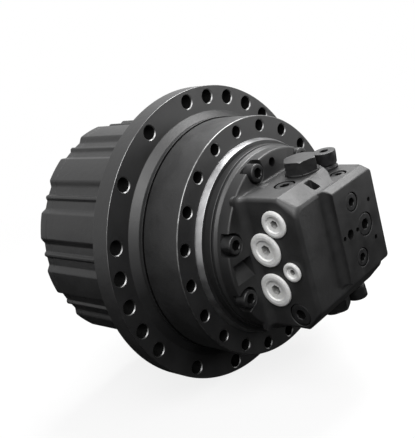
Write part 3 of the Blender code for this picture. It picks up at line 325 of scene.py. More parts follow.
pilot_steel = bare_metal("bright_turned_steel", (0.30, 0.30, 0.305), (0.38, 0.38, 0.385), 0.36)
worn_edge = bare_metal("paint_worn_to_steel", (0.10, 0.10, 0.10), (0.26, 0.26, 0.26), 0.36)
ground_steel = bare_metal("ground_steel", (0.50, 0.50, 0.51), (0.60, 0.60, 0.61), 0.28)
tooth_steel = bare_metal("case_hardened_steel", (0.30, 0.30, 0.31), (0.42, 0.42, 0.43), 0.34)
bearing_bronze = bare_metal("bearing_bronze", (0.42, 0.28, 0.13), (0.56, 0.38, 0.18), 0.36)
screw_black = finish("black_oxide", oxide_blacks, mottle=(150, 4), dullness=(0.32, 0.44),
                     bumps=[(0.00002, 1500, 2)], Metallic=0.15, Specular_IOR_Level=0.45)
print("six metals")

# %% Plastic and rubber
rubber_blacks = ((0.012, 0.012, 0.012), (0.020, 0.020, 0.020))


def moulded_plastic(name, dark, pale):
    """White polyethylene: waxy, slightly see-through, with small handling marks."""
    return finish(name, (dark, pale), mottle=(210, 4), dullness=(0.36, 0.50), bumps=[(0.00008, 420, 3)],
                  Specular_IOR_Level=0.45, Subsurface_Weight=0.12, Subsurface_Radius=(0.0015, 0.0015, 0.0013))


plug_white = moulded_plastic("white_polyethylene", (0.70, 0.70, 0.69), (0.82, 0.82, 0.81))
# A grey copy of the white plastic: painted shade for the deep sockets of the white plugs.
plug_painted_shade = moulded_plastic("polyethylene_painted_shade", (0.20, 0.20, 0.195), (0.36, 0.36, 0.35))
ring_rubber = finish("nitrile_rubber", rubber_blacks, mottle=(400, 3), bumps=[(0.00005,)],
                     Roughness=0.62, Specular_IOR_Level=0.35)
print("two plastics and a rubber")

# %% Dress the pieces that stay as the frame made them
slot_finish = {
    "black_paint": painted_cast,
    "black_oxide": screw_black,
    "machined_steel": ground_steel,
    "gear_steel": tooth_steel,
    "bronze": bearing_bronze,
    "white_plastic": plug_white,
    "seal_rubber": ring_rubber,
}
for part in frame["record"]["subparts"]:
    node = frame["nodes"][part["node"]]
    node.data.materials.clear()
    node.data.materials.append(slot_finish[part["material_slot"]])
print("finishes on", len(frame["nodes"]), "nodes")

# %% [markdown]
# ## From arrays to a mesh
#
# A turned part is one curve carried round an axis. A lofted casting is one closed curve
# carried along a line while its size changes. Both are the same thing to a computer: a grid
# of points with two counts, rows and columns. numpy works out a whole row at once, and one
# table of indices joins each point with its neighbours to make quads.
#
# Where a row shrinks to the axis, all its points fall together. They are merged afterwards,
# which closes the pole.

# %% Grids
weld = 0.000002


def grid_quads(rows, columns, wrap_rows):
    """Quads that join point (i, j) with its neighbours in the next row and the next column."""
    row = np.arange(rows if wrap_rows else rows - 1)
    column = np.arange(columns)
    row, column = np.meshgrid(row, column, indexing="ij")
    next_row, next_column = (row + 1) % rows, (column + 1) % columns
    quads = [row * columns + column, next_row * columns + column,
             next_row * columns + next_column, row * columns + next_column]
    return np.stack(quads, -1).reshape(-1, 4)


def closed_mesh(points, wrap_rows=False):
    """A closed mesh from a grid of points, with all faces outwards.

    Poles are merged, and an end that stays open gets one flat face.
    """
    rows, columns, _ = points.shape
    mesh = bpy.data.meshes.new("grid")
    mesh.from_pydata(points.reshape(-1, 3).tolist(), [], grid_quads(rows, columns, wrap_rows).tolist())
    shape = bmesh.new()
    shape.from_mesh(mesh)
    bmesh.ops.remove_doubles(shape, verts=shape.verts, dist=weld)
    bmesh.ops.dissolve_degenerate(shape, edges=shape.edges, dist=weld)
    bmesh.ops.holes_fill(shape, edges=[edge for edge in shape.edges if edge.is_boundary])
    bmesh.ops.recalc_face_normals(shape, faces=shape.faces)
    shape.to_mesh(mesh)
    shape.free()
    return mesh


# %% Outlines with round corners
def rounded(corners, radii, steps=5, closed=True):
    """Replace each corner by an arc tangent to its two sides.

    The arc's centre lies on the corner's bisector, at radius / sin(half the corner's angle).
    """
    corners = np.asarray(corners, float)
    radii = np.broadcast_to(np.asarray(radii, float), len(corners))
    parts = []
    for place, (corner, radius) in enumerate(zip(corners, radii)):
        if radius == 0 or (not closed and place in (0, len(corners) - 1)):
            parts.append(corner[None])
            continue
        back = corners[place - 1] - corner
        on = corners[(place + 1) % len(corners)] - corner
        back, on = back / np.linalg.norm(back), on / np.linalg.norm(on)
        half = np.arccos(np.clip(back @ on, -1, 1)) / 2
        centre = corner + (back + on) / np.linalg.norm(back + on) * radius / np.sin(half)
        first = (corner + back * radius / np.tan(half) - centre) / radius
        last = (corner + on * radius / np.tan(half) - centre) / radius
        sweep = np.pi - 2 * half
        share = np.linspace(0, 1, steps + 1)[:, None]
        arc = (np.sin((1 - share) * sweep) * first + np.sin(share * sweep) * last) / np.sin(sweep)
        parts.append(centre + radius * arc)
    return np.concatenate(parts)


# %% Turned surfaces
to_left, to_front, to_back, to_top, to_bottom = (-1, 0, 0), (0, -1, 0), (0, 1, 0), (0, 0, 1), (0, 0, -1)


def turned(profile, steps):
    """Carry a (radius, y) profile round the Y axis: x = radius cos t, z = radius sin t.

    A radius may also be a function of the angle t.
    """
    turn = np.linspace(0, 2 * np.pi, steps, endpoint=False)
    rows = []
    for radius, along in profile:
        radius = radius(turn) if callable(radius) else radius + 0 * turn
        rows.append(np.stack([radius * np.cos(turn), along + 0 * turn, radius * np.sin(turn)], -1))
    return np.stack(rows)


def stairs(*steps):
    """The corners of a stepped outline: a radius, a place along Y, the next radius, and so on."""
    return [(one, other) if place % 2 == 0 else (other, one)
            for place, (one, other) in enumerate(zip(steps, steps[1:]))]


def spun(corners, radii, steps, closed=False, round_steps=5):
    """The mesh of a (radius, y) outline with round corners, turned about the Y axis."""
    return closed_mesh(turned(rounded(corners, radii, round_steps, closed), steps), wrap_rows=closed)


def moved(mesh, place=(0, 0, 0), towards=to_front, spin=0.0):
    """Turn a mesh about its own -Y axis, point that axis somewhere, and put it in its place."""
    aim = Vector(to_front).rotation_difference(Vector(towards)).to_matrix().to_4x4()
    mesh.transform(Matrix.Translation(place) @ aim @ Matrix.Rotation(spin, 4, "Y"))
    return mesh


def around(radius, angle, along):
    """The point at an angle about the Y axis, counted from +X towards +Z."""
    return (radius * np.cos(angle), along, radius * np.sin(angle))


# %% [markdown]
# ## Cutting and fusing
#
# Holes and pockets are cut with Blender's exact Boolean, as a drill cuts the real casting.
# A drill here is itself a turned surface, with the chamfer at its mouth as part of its
# profile, so each hole gets its bright rim in one cut. All the drills for one casting are
# joined first. They must not touch each other, or the cut is skipped.

# %% Boolean helpers
overrun = 0.0012


def one_mesh(meshes):
    """All the meshes given, as one."""
    whole = bmesh.new()
    for mesh in meshes:
        whole.from_mesh(mesh)
        bpy.data.meshes.remove(mesh)
    joined = bpy.data.meshes.new("joined")
    whole.to_mesh(joined)
    whole.free()
    return joined


def combined(mesh, other, operation):
    """The mesh with the other one cut from it or fused to it. Both are used up."""
    target = bpy.data.objects.new("target", mesh)
    tool = bpy.data.objects.new("tool", other)
    bpy.context.scene.collection.objects.link(target)
    bpy.context.scene.collection.objects.link(tool)
    boolean = target.modifiers.new("boolean", "BOOLEAN")
    boolean.operation = operation
    boolean.solver = "EXACT"
    boolean.object = tool
    bpy.context.view_layer.update()
    seen = target.evaluated_get(bpy.context.evaluated_depsgraph_get())
    result = bpy.data.meshes.new_from_object(seen)
    for used in (target, tool):
        data = used.data
        bpy.data.objects.remove(used)
        bpy.data.meshes.remove(data)
    return result


def cut(mesh, cutters):
    """The mesh with all the cutters taken from it."""
    return combined(mesh, one_mesh(cutters), "DIFFERENCE")


def drill(radius, depth, chamfer=0.0, point=0.5, steps=40):
    """A drill that cuts along +Y from y = 0: chamfer at the mouth, cone at the bottom."""
    profile = [(0, -overrun), (radius + chamfer + overrun, -overrun), (radius, chamfer), (radius, depth),
               (0, depth + point * radius)]
    return closed_mesh(turned(profile, steps))


def hex_drill(across_flats, depth, chamfer, point=0.3, cone_steps=36):
    """A hexagon broach along +Y, with a round chamfer cone at the mouth.

    The cone is turned by half a facet, so that none of its edges lies on one of the broach.
    """
    corner = across_flats / np.sqrt(3)
    hexagon = [(0, -overrun), (corner, -overrun), (corner, depth), (0, depth + point * corner)]
    cone = [(0, -overrun), (corner + overrun, -overrun), (corner - chamfer, chamfer), (0, chamfer)]
    cone = moved(closed_mesh(turned(cone, cone_steps)), spin=np.pi / cone_steps)
    return combined(closed_mesh(turned(hexagon, 6)), cone, "UNION")


# %% [markdown]
# ## Dressing a piece
#
# A finished piece needs more than its shape. Its faces are shaded smooth except across real
# edges, and a Weighted Normal modifier keeps the large flat faces flat beside their narrow
# round edges. Then it rides on its body and stands for its node.
#
# One casting can show several finishes. A function looks at the centres and the normals of all
# the faces at once and gives each face the place of its finish in a list.

# %% Piece helper
flat_face_weight = 90


def face_array(mesh, kind):
    """One vector for each face of a mesh. The kind is "center" or "normal"."""
    vectors = np.empty((len(mesh.polygons), 3))
    mesh.polygons.foreach_get(kind, vectors.ravel())
    return vectors


def dress(name, mesh, body, nodes, finishes, pick=None, sharp=32):
    """Make a piece from a mesh. pick(centres, normals) gives each face its place in finishes."""
    mesh.name = name
    mesh.materials.clear()
    for material in finishes:
        mesh.materials.append(material)
    chosen = np.zeros(len(mesh.polygons), np.int32)
    if pick is not None:
        chosen[:] = pick(face_array(mesh, "center"), face_array(mesh, "normal"))
    mesh.polygons.foreach_set("material_index", chosen)
    mesh.shade_smooth()
    mesh.set_sharp_from_angle(angle=np.radians(sharp))
    piece = bpy.data.objects.new(name, mesh)
    bpy.context.scene.collection.objects.link(piece)
    weighted = piece.modifiers.new("flat_faces", "WEIGHTED_NORMAL")
    weighted.keep_sharp = True
    weighted.weight = flat_face_weight
    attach(piece, body)
    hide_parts(*nodes)
    print(name, len(mesh.polygons), "faces")


# %% Finishes of a casting
# The fifth of these finishes is painted shade, a near-black for holes, sockets, seats and gaps.
CAST, TURNED, BRIGHT, WORN, RECESS_SHADE, MILLED = range(6)
casting_finishes = (painted_cast, painted_turned, pilot_steel, worn_edge, painted_shade_in_recesses, painted_milled)
hair = 0.0001
nearly_level = 0.97
hole_level = 0.92
looks_along = 0.9


def off_axis(centres, place, towards):
    """How far points lie along a direction from a place, and how far beside it."""
    offset = centres - place
    ahead = offset @ towards
    return ahead, np.linalg.norm(offset - ahead[:, None] * towards, axis=1)


def round_the_axis(centres):
    """The distances of points from the drive's axis, and their places along it."""
    return np.hypot(centres[:, 0], centres[:, 2]), centres[:, 1]


def near_holes(centres, normals, holes, radius):
    """The faces within a radius of some holes along Y that don't look along Y themselves."""
    beside = np.linalg.norm(centres[:, None, (0, 2)] - holes[None], axis=-1).min(1)
    return (np.abs(normals[:, 1]) < hole_level) & (beside < radius)


def mark_holes(chosen, centres, normals, holes, radius, chamfer):
    """Worn steel on the chamfers of some holes along Y, painted shade in near black on the holes' walls."""
    chosen[near_holes(centres, normals, holes, radius + chamfer)] = WORN
    chosen[near_holes(centres, normals, holes, radius + hair)] = RECESS_SHADE


def ring_of(circle, turns):
    """The (x, z) places of holes on a circle."""
    return np.stack([circle * np.cos(turns), circle * np.sin(turns)], -1)


print(len(casting_finishes), "finishes for a casting")

# %% [markdown]
# ## Motor case
#
# The part that stays still: a heavy drum that bolts to the track frame, with twenty tapped
# holes in its face. Inside the ring of holes stands the pilot, a bright turned band that
# centres the drive in the frame, and inside that the neck for the valve cover. Behind the
# drum, out of sight, the same casting runs on as the spindle for the main bearings.
#
# The whole casting is one profile. It starts at the motor chamber's mouth, goes out over the
# face and back along the outside, and returns through the bores, so it is a closed ring.

# %% Motor case profile
case_radius, case_end = 0.1852, 0.0705
case_edge = 0.0016
pilot_radius, pilot_lead_radius = 0.1506, 0.1472
pilot_length, pilot_land = 0.0100, 0.0014
neck_radius, neck_end = 0.1415, -0.0220
seal_groove_radius, seal_groove_floor = 0.1785, 0.0560
seal_land_radius, seal_land_end = 0.1280, 0.0917
spindle_radius, spindle_end = 0.1100, 0.1770
nut_seat_radius, nut_seat_end = 0.1050, 0.1967
nose_radius, nose_end = 0.0680, 0.2170
chamber_radius, chamber_end = 0.0800, 0.0880
bearing_pocket_radius, bearing_pocket_end = 0.0400, 0.1080
shaft_bore = 0.0260
frame_circle, frame_hole, frame_holes = 0.1700, 0.0088, 20
frame_chamfer = 0.0013

case_corners = stairs(chamber_radius, neck_end, neck_radius, -pilot_length, pilot_lead_radius)
case_corners += [(pilot_radius, -pilot_land)]
case_corners += stairs(
    pilot_radius, 0, case_radius, case_end, seal_groove_radius, seal_groove_floor, seal_land_radius,
    seal_land_end, spindle_radius, spindle_end, nut_seat_radius, nut_seat_end, nose_radius, nose_end,
    shaft_bore, bearing_pocket_end, bearing_pocket_radius, chamber_end, chamber_radius)
case_rounds = [0.0005, 0.0012, 0, 0.0006, 0.0005, 0.0008, case_edge, 0.0010] + [0] * 15
case_mesh = spun(case_corners, case_rounds, steps=288, closed=True)

hole_turns = np.arange(frame_holes) * 2 * np.pi / frame_holes
frame_drills = [moved(drill(frame_hole, depth=0.0380, chamfer=frame_chamfer), around(frame_circle, turn, 0))
                for turn in hole_turns]
case_mesh = cut(case_mesh, frame_drills)
print("case with", len(frame_drills), "holes,", len(case_mesh.polygons), "faces")

# %% Motor case finish
pilot_margins = (0.0010, 0.0002)
neck_margins = (0.0020, 0.0002)
gap_margin = 0.0005


def within(value, low, high, margins):
    """Where a value lies between two ends, each moved outwards by its margin."""
    return (value > low - margins[0]) & (value < high + margins[1])


def case_finish(centres, normals):
    """Bright on the pilot, worn on the drum's front edge, painted shade in the gap, turned along Y."""
    radius, along = round_the_axis(centres)
    chosen = np.where(np.abs(normals[:, 1]) > looks_along, TURNED, CAST)
    on_pilot = within(radius, pilot_lead_radius, pilot_radius, pilot_margins)
    chosen[on_pilot & (along < 0) & (along > -pilot_length + hair)] = BRIGHT
    chosen[within(radius, neck_radius, neck_radius, neck_margins) & (along < 0)] = TURNED
    chosen[(radius > case_radius - case_edge) & (along < case_edge) & (normals[:, 1] > -nearly_level)] = WORN
    # Painted shade: the faces behind the drum's end, in the gap to the hub, get the near-black.
    chosen[along > case_end - gap_margin] = RECESS_SHADE
    mark_holes(chosen, centres, normals, ring_of(frame_circle, hole_turns), frame_hole, frame_chamfer)
    return chosen


dress("motor_case_casting", case_mesh, "case", ["motor_case"], casting_finishes, case_finish)

# %% [markdown]
# ## Sprocket hub
#
# The hub turns round the case. Its wide flange carries the sprocket: the toothed ring slips
# over the boss and is screwed through three groups of seven holes. From the motor's side one
# sees the flange's face, the cone that leads up to it, and then a narrow black gap, which is
# where the turning hub meets the standing case.

# %% Hub profile
flange_radius, flange_back = 0.2375, 0.1230
boss_radius, boss_foot_radius, boss_start = 0.1870, 0.1980, 0.0720
groove_start, groove_end, groove_depth, groove_slope = 0.0772, 0.0796, 0.0008, 0.0004
hub_neck_radius, hub_end = 0.1880, 0.1760
hub_seal_floor = 0.0860
bearing_radius, shoulder_radius = 0.1475, 0.1390
shoulder_start, shoulder_end = 0.1253, 0.1427
sprocket_circle, sprocket_hole, sprocket_chamfer = 0.2205, 0.0108, 0.0014
sprocket_places = np.array([0, 1, 2, 3, 4, 6, 8])
sprocket_pitch = np.radians(12)
sprocket_groups = np.radians([0, 120, 240])
sprocket_start = np.radians(41)

groove_floor = boss_radius - groove_depth
hub_corners = [(seal_groove_radius, boss_start), (boss_radius, boss_start), (boss_radius, groove_start),
               (groove_floor, groove_start + groove_slope), (groove_floor, groove_end - groove_slope),
               (boss_radius, groove_end)]
hub_corners += stairs(
    boss_foot_radius, flange_face, flange_radius, flange_back, hub_neck_radius, hub_end, bearing_radius,
    shoulder_end, shoulder_radius, shoulder_start, bearing_radius, hub_seal_floor, seal_groove_radius)
hub_rounds = [0.0004, 0.0008, 0, 0, 0, 0.0003, 0.0020, 0.0009, 0.0014, 0.0080, 0.0006] + [0] * 7
hub_mesh = spun(hub_corners, hub_rounds, steps=320, closed=True, round_steps=6)


def through_drill(radius, thickness, chamfer, steps=40):
    """A drill through a plate between y = 0 and its thickness, chamfered at both mouths."""
    wide = radius + chamfer + overrun
    profile = [(0, -overrun), (wide, -overrun), (radius, chamfer), (radius, thickness - chamfer),
               (wide, thickness + overrun), (0, thickness + overrun)]
    return closed_mesh(turned(profile, steps))


sprocket_turns = sprocket_start + np.add.outer(sprocket_groups, sprocket_places * sprocket_pitch).ravel()
thickness = flange_back - flange_face
sprocket_drills = [moved(through_drill(sprocket_hole, thickness, sprocket_chamfer),
                         around(sprocket_circle, turn, flange_face)) for turn in sprocket_turns]
hub_mesh = cut(hub_mesh, sprocket_drills)
print("hub with", len(sprocket_drills), "holes,", len(hub_mesh.polygons), "faces")

# %% Hub finish
hub_looks_along = 0.5
edge_width, edge_length = 0.0005, 0.0004
flange_back_margin, boss_end_margin = 0.0010, 0.0003


def hub_finish(centres, normals):
    """Turned paint on the faces and the cone, worn on the flange's front edge, painted shade in the gap."""
    radius, along = round_the_axis(centres)
    tooled = (np.abs(normals[:, 1]) > hub_looks_along) & (along < flange_back + flange_back_margin)
    chosen = np.where(tooled, TURNED, CAST)
    on_edge = (radius > flange_radius - edge_width) & (along < flange_face + edge_length)
    chosen[on_edge & (normals[:, 1] > -nearly_level)] = WORN
    # Painted shade: the boss's end in the gap to the case gets the near-black.
    chosen[along < boss_start + boss_end_margin] = RECESS_SHADE
    holes = ring_of(sprocket_circle, sprocket_turns)
    mark_holes(chosen, centres, normals, holes, sprocket_hole, sprocket_chamfer)
    return chosen


dress("sprocket_hub_casting", hub_mesh, "hub", ["sprocket_hub"], casting_finishes, hub_finish)

# %% [markdown]
# ## Ring gear drum
#
# Behind the flange sits the drum that holds the planets. Outside, the casting swells into a
# lobe over each of the end cover's bolts, with a small rib between two lobes. Inside are the
# fifty teeth of the ring gear.
#
# Both outlines can be written as a radius that depends on the angle, so the drum is again a
# grid: the angle runs one way, and the other way goes round the wall's section.

# %% Drum outlines
lobe_radius, notch_radius, rib_radius = 0.1910, 0.1840, 0.1880
lobes = 12
lobe_half = np.radians(7.75)
ramp_half = np.radians(1.8)
rib_half = np.radians(1.9)
rib_ramp_share = 0.8
hub_rest_turn = np.radians(5.5)
module = 0.0060
root_share = 1.25
ring_teeth = 50
pressure_angle = np.radians(25)
ring_relief = 0.0005


def smooth_step(value):
    """Goes from 0 to 1 as the value does, with a level start and end."""
    value = np.clip(value, 0, 1)
    return value * value * (3 - 2 * value)


def from_nearest(turn, count):
    """The angle from the nearest of so many evenly spaced places round the hub."""
    spacing = 2 * np.pi / count
    return np.abs((turn - hub_rest_turn + spacing / 2) % spacing - spacing / 2)


def lobed_radius(turn):
    """The drum's outer radius: a flat-topped lobe every 30 degrees and a rib half way between."""
    off = from_nearest(turn, lobes)
    lobe = smooth_step((lobe_half + ramp_half - off) / (2 * ramp_half))
    rib = smooth_step((rib_half - np.abs(np.pi / lobes - off)) / (rib_half * rib_ramp_share))
    return notch_radius + (lobe_radius - notch_radius) * lobe + (rib_radius - notch_radius) * rib


def ring_tooth_radius(turn):
    """The ring gear's inner radius: straight flanks between the root circle and the tip circle.

    Half a tooth's angle at a radius follows from the involute: pi / 2T + inv(25 degrees) - inv(roll).
    """
    pitch = module * ring_teeth / 2
    ends = np.array([pitch - module, pitch + root_share * module])
    roll = np.arccos(np.minimum(1, pitch * np.cos(pressure_angle) / ends))
    space = np.pi / (2 * ring_teeth) + np.tan(pressure_angle) - pressure_angle - np.tan(roll) + roll
    half = np.pi / ring_teeth - space - ring_relief / pitch
    return np.interp(from_nearest(turn, ring_teeth), half, ends)


def edge_rows(outline, along, inwards, radius, steps=4):
    """Rows that round the edge of a lobed wall, from its side to its end face."""
    angle = np.linspace(0, np.pi / 2, steps + 1)
    return [(lambda turn, drop=radius * (1 - np.cos(a)): outline(turn) - drop,
             along + inwards * radius * (1 - np.sin(a))) for a in angle]


# %% Drum
seat_gap = 0.0003
drum_start, drum_end = hub_end + seat_gap, 0.3090
teeth_start = 0.2150
drum_bore = 0.1600
bare_inside = 0.1650
drum_rows = edge_rows(lobed_radius, drum_start, inwards=1, radius=0.0012)[::-1]
drum_rows += edge_rows(lobed_radius, drum_end, inwards=-1, radius=0.0008)
drum_rows += [(ring_tooth_radius, drum_end), (ring_tooth_radius, teeth_start), (drum_bore, teeth_start),
              (drum_bore, drum_start)]
drum_mesh = closed_mesh(turned(drum_rows, steps=2400), wrap_rows=True)


def drum_finish(centres, normals):
    """Paint outside, bare steel on the teeth."""
    return np.where(round_the_axis(centres)[0] < bare_inside, BRIGHT, CAST)


dress("ring_gear_drum", drum_mesh, "hub", ["ring_gear"], casting_finishes, drum_finish)

# %% [markdown]
# ## End cover and its bolts
#
# The cover closes the drum at the far end. It has the drum's outline, a low dome over the
# first stage, twelve hexagon bolts and two oil plugs. The photograph doesn't show this side,
# so it has what such covers have.

# %% End cover
end_cover_start, end_cover_face = drum_end + seat_gap, 0.3273
front_ring_radius, back_ring_radius = 0.1500, 0.1560
end_cover_turned_radius = 0.1550
dome_radius, dome_height, dome_round = 0.1150, 0.0060, 0.0060
cover_plug_circle, cover_plug_seat = 0.1395, 0.0130
cover_plug_turns = hub_rest_turn + np.radians([15, 195])

dome_top = end_cover_face + dome_height
dome_corners = [(back_ring_radius, end_cover_face), (dome_radius + 2 * dome_height, end_cover_face),
                (dome_radius, dome_top), (0, dome_top)]
end_cover_rows = [(0, end_cover_start), (front_ring_radius, end_cover_start)]
end_cover_rows += edge_rows(lobed_radius, end_cover_start, inwards=1, radius=0.0008)[::-1]
end_cover_rows += edge_rows(lobed_radius, end_cover_face, inwards=-1, radius=0.0030)
end_cover_rows += list(rounded(dome_corners, [0, dome_round, dome_round, 0], closed=False))
end_cover_mesh = closed_mesh(turned(end_cover_rows, steps=1200))
plug_seats = [moved(drill(cover_plug_seat + seat_gap, depth=0.0085, point=0),
                    around(cover_plug_circle, turn, end_cover_face), to_back) for turn in cover_plug_turns]
end_cover_mesh = cut(end_cover_mesh, plug_seats)


def end_cover_finish(centres, normals):
    """Turned paint inside the ring of bolts, cast paint outside it."""
    return np.where(round_the_axis(centres)[0] < end_cover_turned_radius, TURNED, CAST)


dress("end_cover_casting", end_cover_mesh, "hub", ["end_cover"], casting_finishes,
      end_cover_finish)

# %% Hexagon heads
cover_bolt_circle, head_sharp = 0.1705, 25


def hex_head(across_flats, height, slope=0.45, round_share=0.96, steps=120, rows=8):
    """A bolt head along -Y from y = 0: a hexagon whose top is turned to a cone at its corners.

    The radius at each angle is half the flats over the cosine from the nearest flat. Outside
    the inscribed circle the top falls away with the extra radius times the slope.
    """
    turn = np.linspace(0, 2 * np.pi, steps, endpoint=False)
    off = (turn + np.pi / 6) % (np.pi / 3) - np.pi / 6
    edge = across_flats / 2 / np.cos(off)
    crown = across_flats / 2 * round_share
    share = np.linspace(0, 1, rows)[:, None]
    radius = np.minimum(crown, edge) + np.maximum(edge - crown, 0) * share
    drop = np.maximum(radius - crown, 0) * slope
    middle = np.full((1, steps, 3), (0, -height, 0))
    top = np.stack([radius * np.cos(turn), -height + drop, radius * np.sin(turn)], -1)
    foot = np.stack([edge * np.cos(turn), 0 * edge, edge * np.sin(turn)], -1)[None]
    return closed_mesh(np.concatenate([middle, top, foot, np.zeros((1, steps, 3))]))


lobe_turns = hub_rest_turn + np.arange(lobes) * 2 * np.pi / lobes
cover_bolts = [moved(hex_head(across_flats=0.0220, height=0.0090),
                     around(cover_bolt_circle, turn, end_cover_face), to_back, spin=-turn)
               for turn in lobe_turns]
dress("end_cover_bolts", one_mesh(cover_bolts), "hub", ["end_cover"], [screw_black],
      sharp=head_sharp)

# %% Pieces with a socket
# The second finish is painted shade, near black, for the inside of each socket.
socket_finishes = (screw_black, painted_shade_in_recesses)
socket_spin = 0.2
socket_lip = 0.0006


def dress_socketed(name, node, body, corners, rounds, steps, socket, mouth, place, towards, spin=socket_spin):
    """Turn a plug, cut its hexagon socket, put it in its place, and dress it in black oxide, with painted
    shade in the socket.

    The socket is (across flats, depth, chamfer). It opens at the mouth, a place on the plug's own
    Y axis. Its spin keeps its corners off the edges of the plug's facets.
    """
    broach = moved(hex_drill(*socket), (0, mouth, 0), spin=spin)
    plug = combined(spun(corners, rounds, steps), broach, "DIFFERENCE")
    opening = np.array(place) - mouth * np.array(towards)

    def in_socket(centres, normals):
        """The faces near the socket's axis and under its mouth, which get painted shade."""
        ahead, beside = off_axis(centres, opening, towards)
        return (beside < socket[0] / np.sqrt(3)) & (ahead < -socket_lip)

    dress(name, moved(plug, place, towards), body, [node], socket_finishes, in_socket)


# %% Oil plugs
oil_plug_radius, oil_plug_height, oil_plug_stem = 0.0160, 0.0060, 0.0060
oil_plug_socket = (0.0100, 0.0060, 0.0010)
oil_plug_corners = stairs(0, oil_plug_stem, cover_plug_seat, -seat_gap, oil_plug_radius, -oil_plug_height, 0)
oil_plug_rounds = [0, 0, 0, 0.0004, 0.0012, 0]
for number, turn in enumerate(cover_plug_turns, 1):
    place = around(cover_plug_circle, turn, end_cover_face)
    dress_socketed(f"oil_plug_{number}", f"cover_plug_{number}", "hub", oil_plug_corners, oil_plug_rounds, 72,
                   oil_plug_socket, -oil_plug_height, place, to_back)

# %% [markdown]
# ## Valve cover
#
# This casting closes the motor and holds its valves. It is a round flange with a heavy block
# standing on it. The block is a loft: at each place along Y it has a section with a high top on
# the left and a low top on the right, and the next section differs a little. Five rules shape it:
#
# - near the flange every side swells out in a quarter circle, which is the cast fillet;
# - from y = -118 mm the high top falls by 17 mm over 28 mm, which is the slope;
# - the edge between the high and the low top bulges round the large plug and then slants away;
# - the corner between the slope and the left side grows rounder towards the front;
# - at the front the sides draw in by quarter circles, which rounds the edges.

# %% Valve cover sizes
valve_cover_start = neck_end - seat_gap
rim_radius, rim_length = 0.1400, 0.0040
disc_radius, disc_place, disc_face = 0.1365, 0.0080, -0.0514
disc_rounds = [0, 0.0008, 0.0012, 0.0030, 0.0028, 0]
block_start, block_front = -0.0460, -0.1460
block_left, block_right = -0.0850, 0.0850
block_bottom, block_low, block_high = -0.1030, 0.0850, 0.1000
slope_start, slope_rate = -0.1180, 0.0170 / 0.0280
lower_start = -0.1190
least_step = 0.0002
step_path = ([0.0460, 0.1100, 0.1260, 0.1460], [0.0360, 0.0360, 0.0300, 0.0100])
bulge_across, bulge_along, bulge_radius = 0.0160, -0.0910, 0.0295
corner_path = ([0.1100, 0.1200, 0.1460], [0.0055, 0.0080, 0.0150])
high_edge_round, low_edge_round, right_round, bottom_round = 0.0022, 0.0040, 0.0050, 0.0060
step_share = 0.4
pad_left, pad_right, pad_bottom, pad_top = -0.0170, 0.0830, -0.0620, 0.0790
pad_root, pad_front = [-0.1380, -0.1440], -0.1600
pad_path = ([0.1380, 0.1480, 0.1600], [0.0845, 0.0848, pad_top])
pad_rounds = [0.0020, 0.0065, 0.0050, 0.0030]
fine = 0.0005


def quarter(distance, radius):
    """How far a quarter circle of this radius stands off its wall, at a distance from its foot."""
    reach = np.clip(radius - distance, 0, radius)
    return radius - np.sqrt(radius ** 2 - reach ** 2)


def smoothed(values, width):
    """A curve averaged over a window of samples, with its ends held."""
    window = np.hanning(width + 2)[1:-1]
    padded = np.pad(values, width, mode="edge")
    return np.convolve(padded, window / window.sum(), mode="same")[width:-width]


def lofted(along, corners, radii, steps=7, least=0.00005):
    """A closed mesh through sections. Corners are (x, z) curves, and radii have a row per section."""
    corners = np.stack([np.stack(pair, -1) for pair in corners], 1)
    sections = []
    for place, outline, rounds in zip(along, corners, radii):
        points = rounded(outline, np.maximum(rounds, least), steps)
        sections.append(np.insert(points, 1, place, axis=1))
    return closed_mesh(np.stack(sections))


print("block", block_right - block_left, "m wide")

# %% Valve cover block
block_along = np.concatenate([[block_start], np.arange(disc_face, block_front, -fine), [block_front]])
from_flange = np.clip(disc_face - block_along, 0, None)
from_front = block_along - block_front

high = smoothed(block_high - slope_rate * np.clip(slope_start - block_along, 0, None), width=5)
high = high + quarter(from_flange, radius=0.0045) - quarter(from_front, radius=0.0035)
low = np.minimum(block_low + quarter(from_flange, radius=0.0045), high - least_step)
low = np.minimum(low - quarter(from_front, radius=0.0030), high - least_step)
left = block_left - quarter(from_flange, radius=0.0140) + quarter(from_front, radius=0.0065)
right = block_right + quarter(from_flange, radius=0.0060) - quarter(from_front, radius=0.0050)
bottom = smoothed(block_bottom + np.clip(lower_start - block_along, 0, None), width=9)
bottom = bottom - quarter(from_flange, radius=0.0060) + quarter(from_front, radius=0.0040)
straight = np.interp(-block_along, *step_path)
bulge = bulge_across + np.sqrt(np.clip(bulge_radius ** 2 - (block_along - bulge_along) ** 2, 0, None))
step = smoothed(np.maximum(straight, bulge), width=15)

block_corners = [(left, high), (step, high), (step, low), (right, low), (right, bottom), (left, bottom)]
most_round = step_share * (high - low)
block_radii = np.stack(np.broadcast_arrays(
    np.interp(-block_along, *corner_path), np.minimum(high_edge_round, most_round),
    np.minimum(low_edge_round, most_round), right_round, bottom_round, bottom_round), 1)
block_mesh = lofted(block_along, block_corners, block_radii)
print("block", len(block_mesh.polygons), "faces")

# %% Valve cover pad
pad_along = np.concatenate([pad_root, np.arange(block_front, pad_front, -fine), [pad_front]])
from_block = np.clip(block_front - pad_along, 0, None)
to_face = pad_along - pad_front
top = smoothed(np.interp(-pad_along, *pad_path), width=5) - quarter(to_face, radius=0.0012)
left = pad_left - quarter(from_block, radius=0.0110) + quarter(to_face, radius=0.0008)
right = pad_right + quarter(from_block, radius=0.0015) - quarter(to_face, radius=0.0015)
bottom = pad_bottom - quarter(from_block, radius=0.0040) + quarter(to_face, radius=0.0010)
pad_corners = [(left, top), (right, top), (right, bottom), (left, bottom)]
pad_mesh = lofted(pad_along, pad_corners, [pad_rounds] * len(pad_along))
print("pad", len(pad_mesh.polygons), "faces")

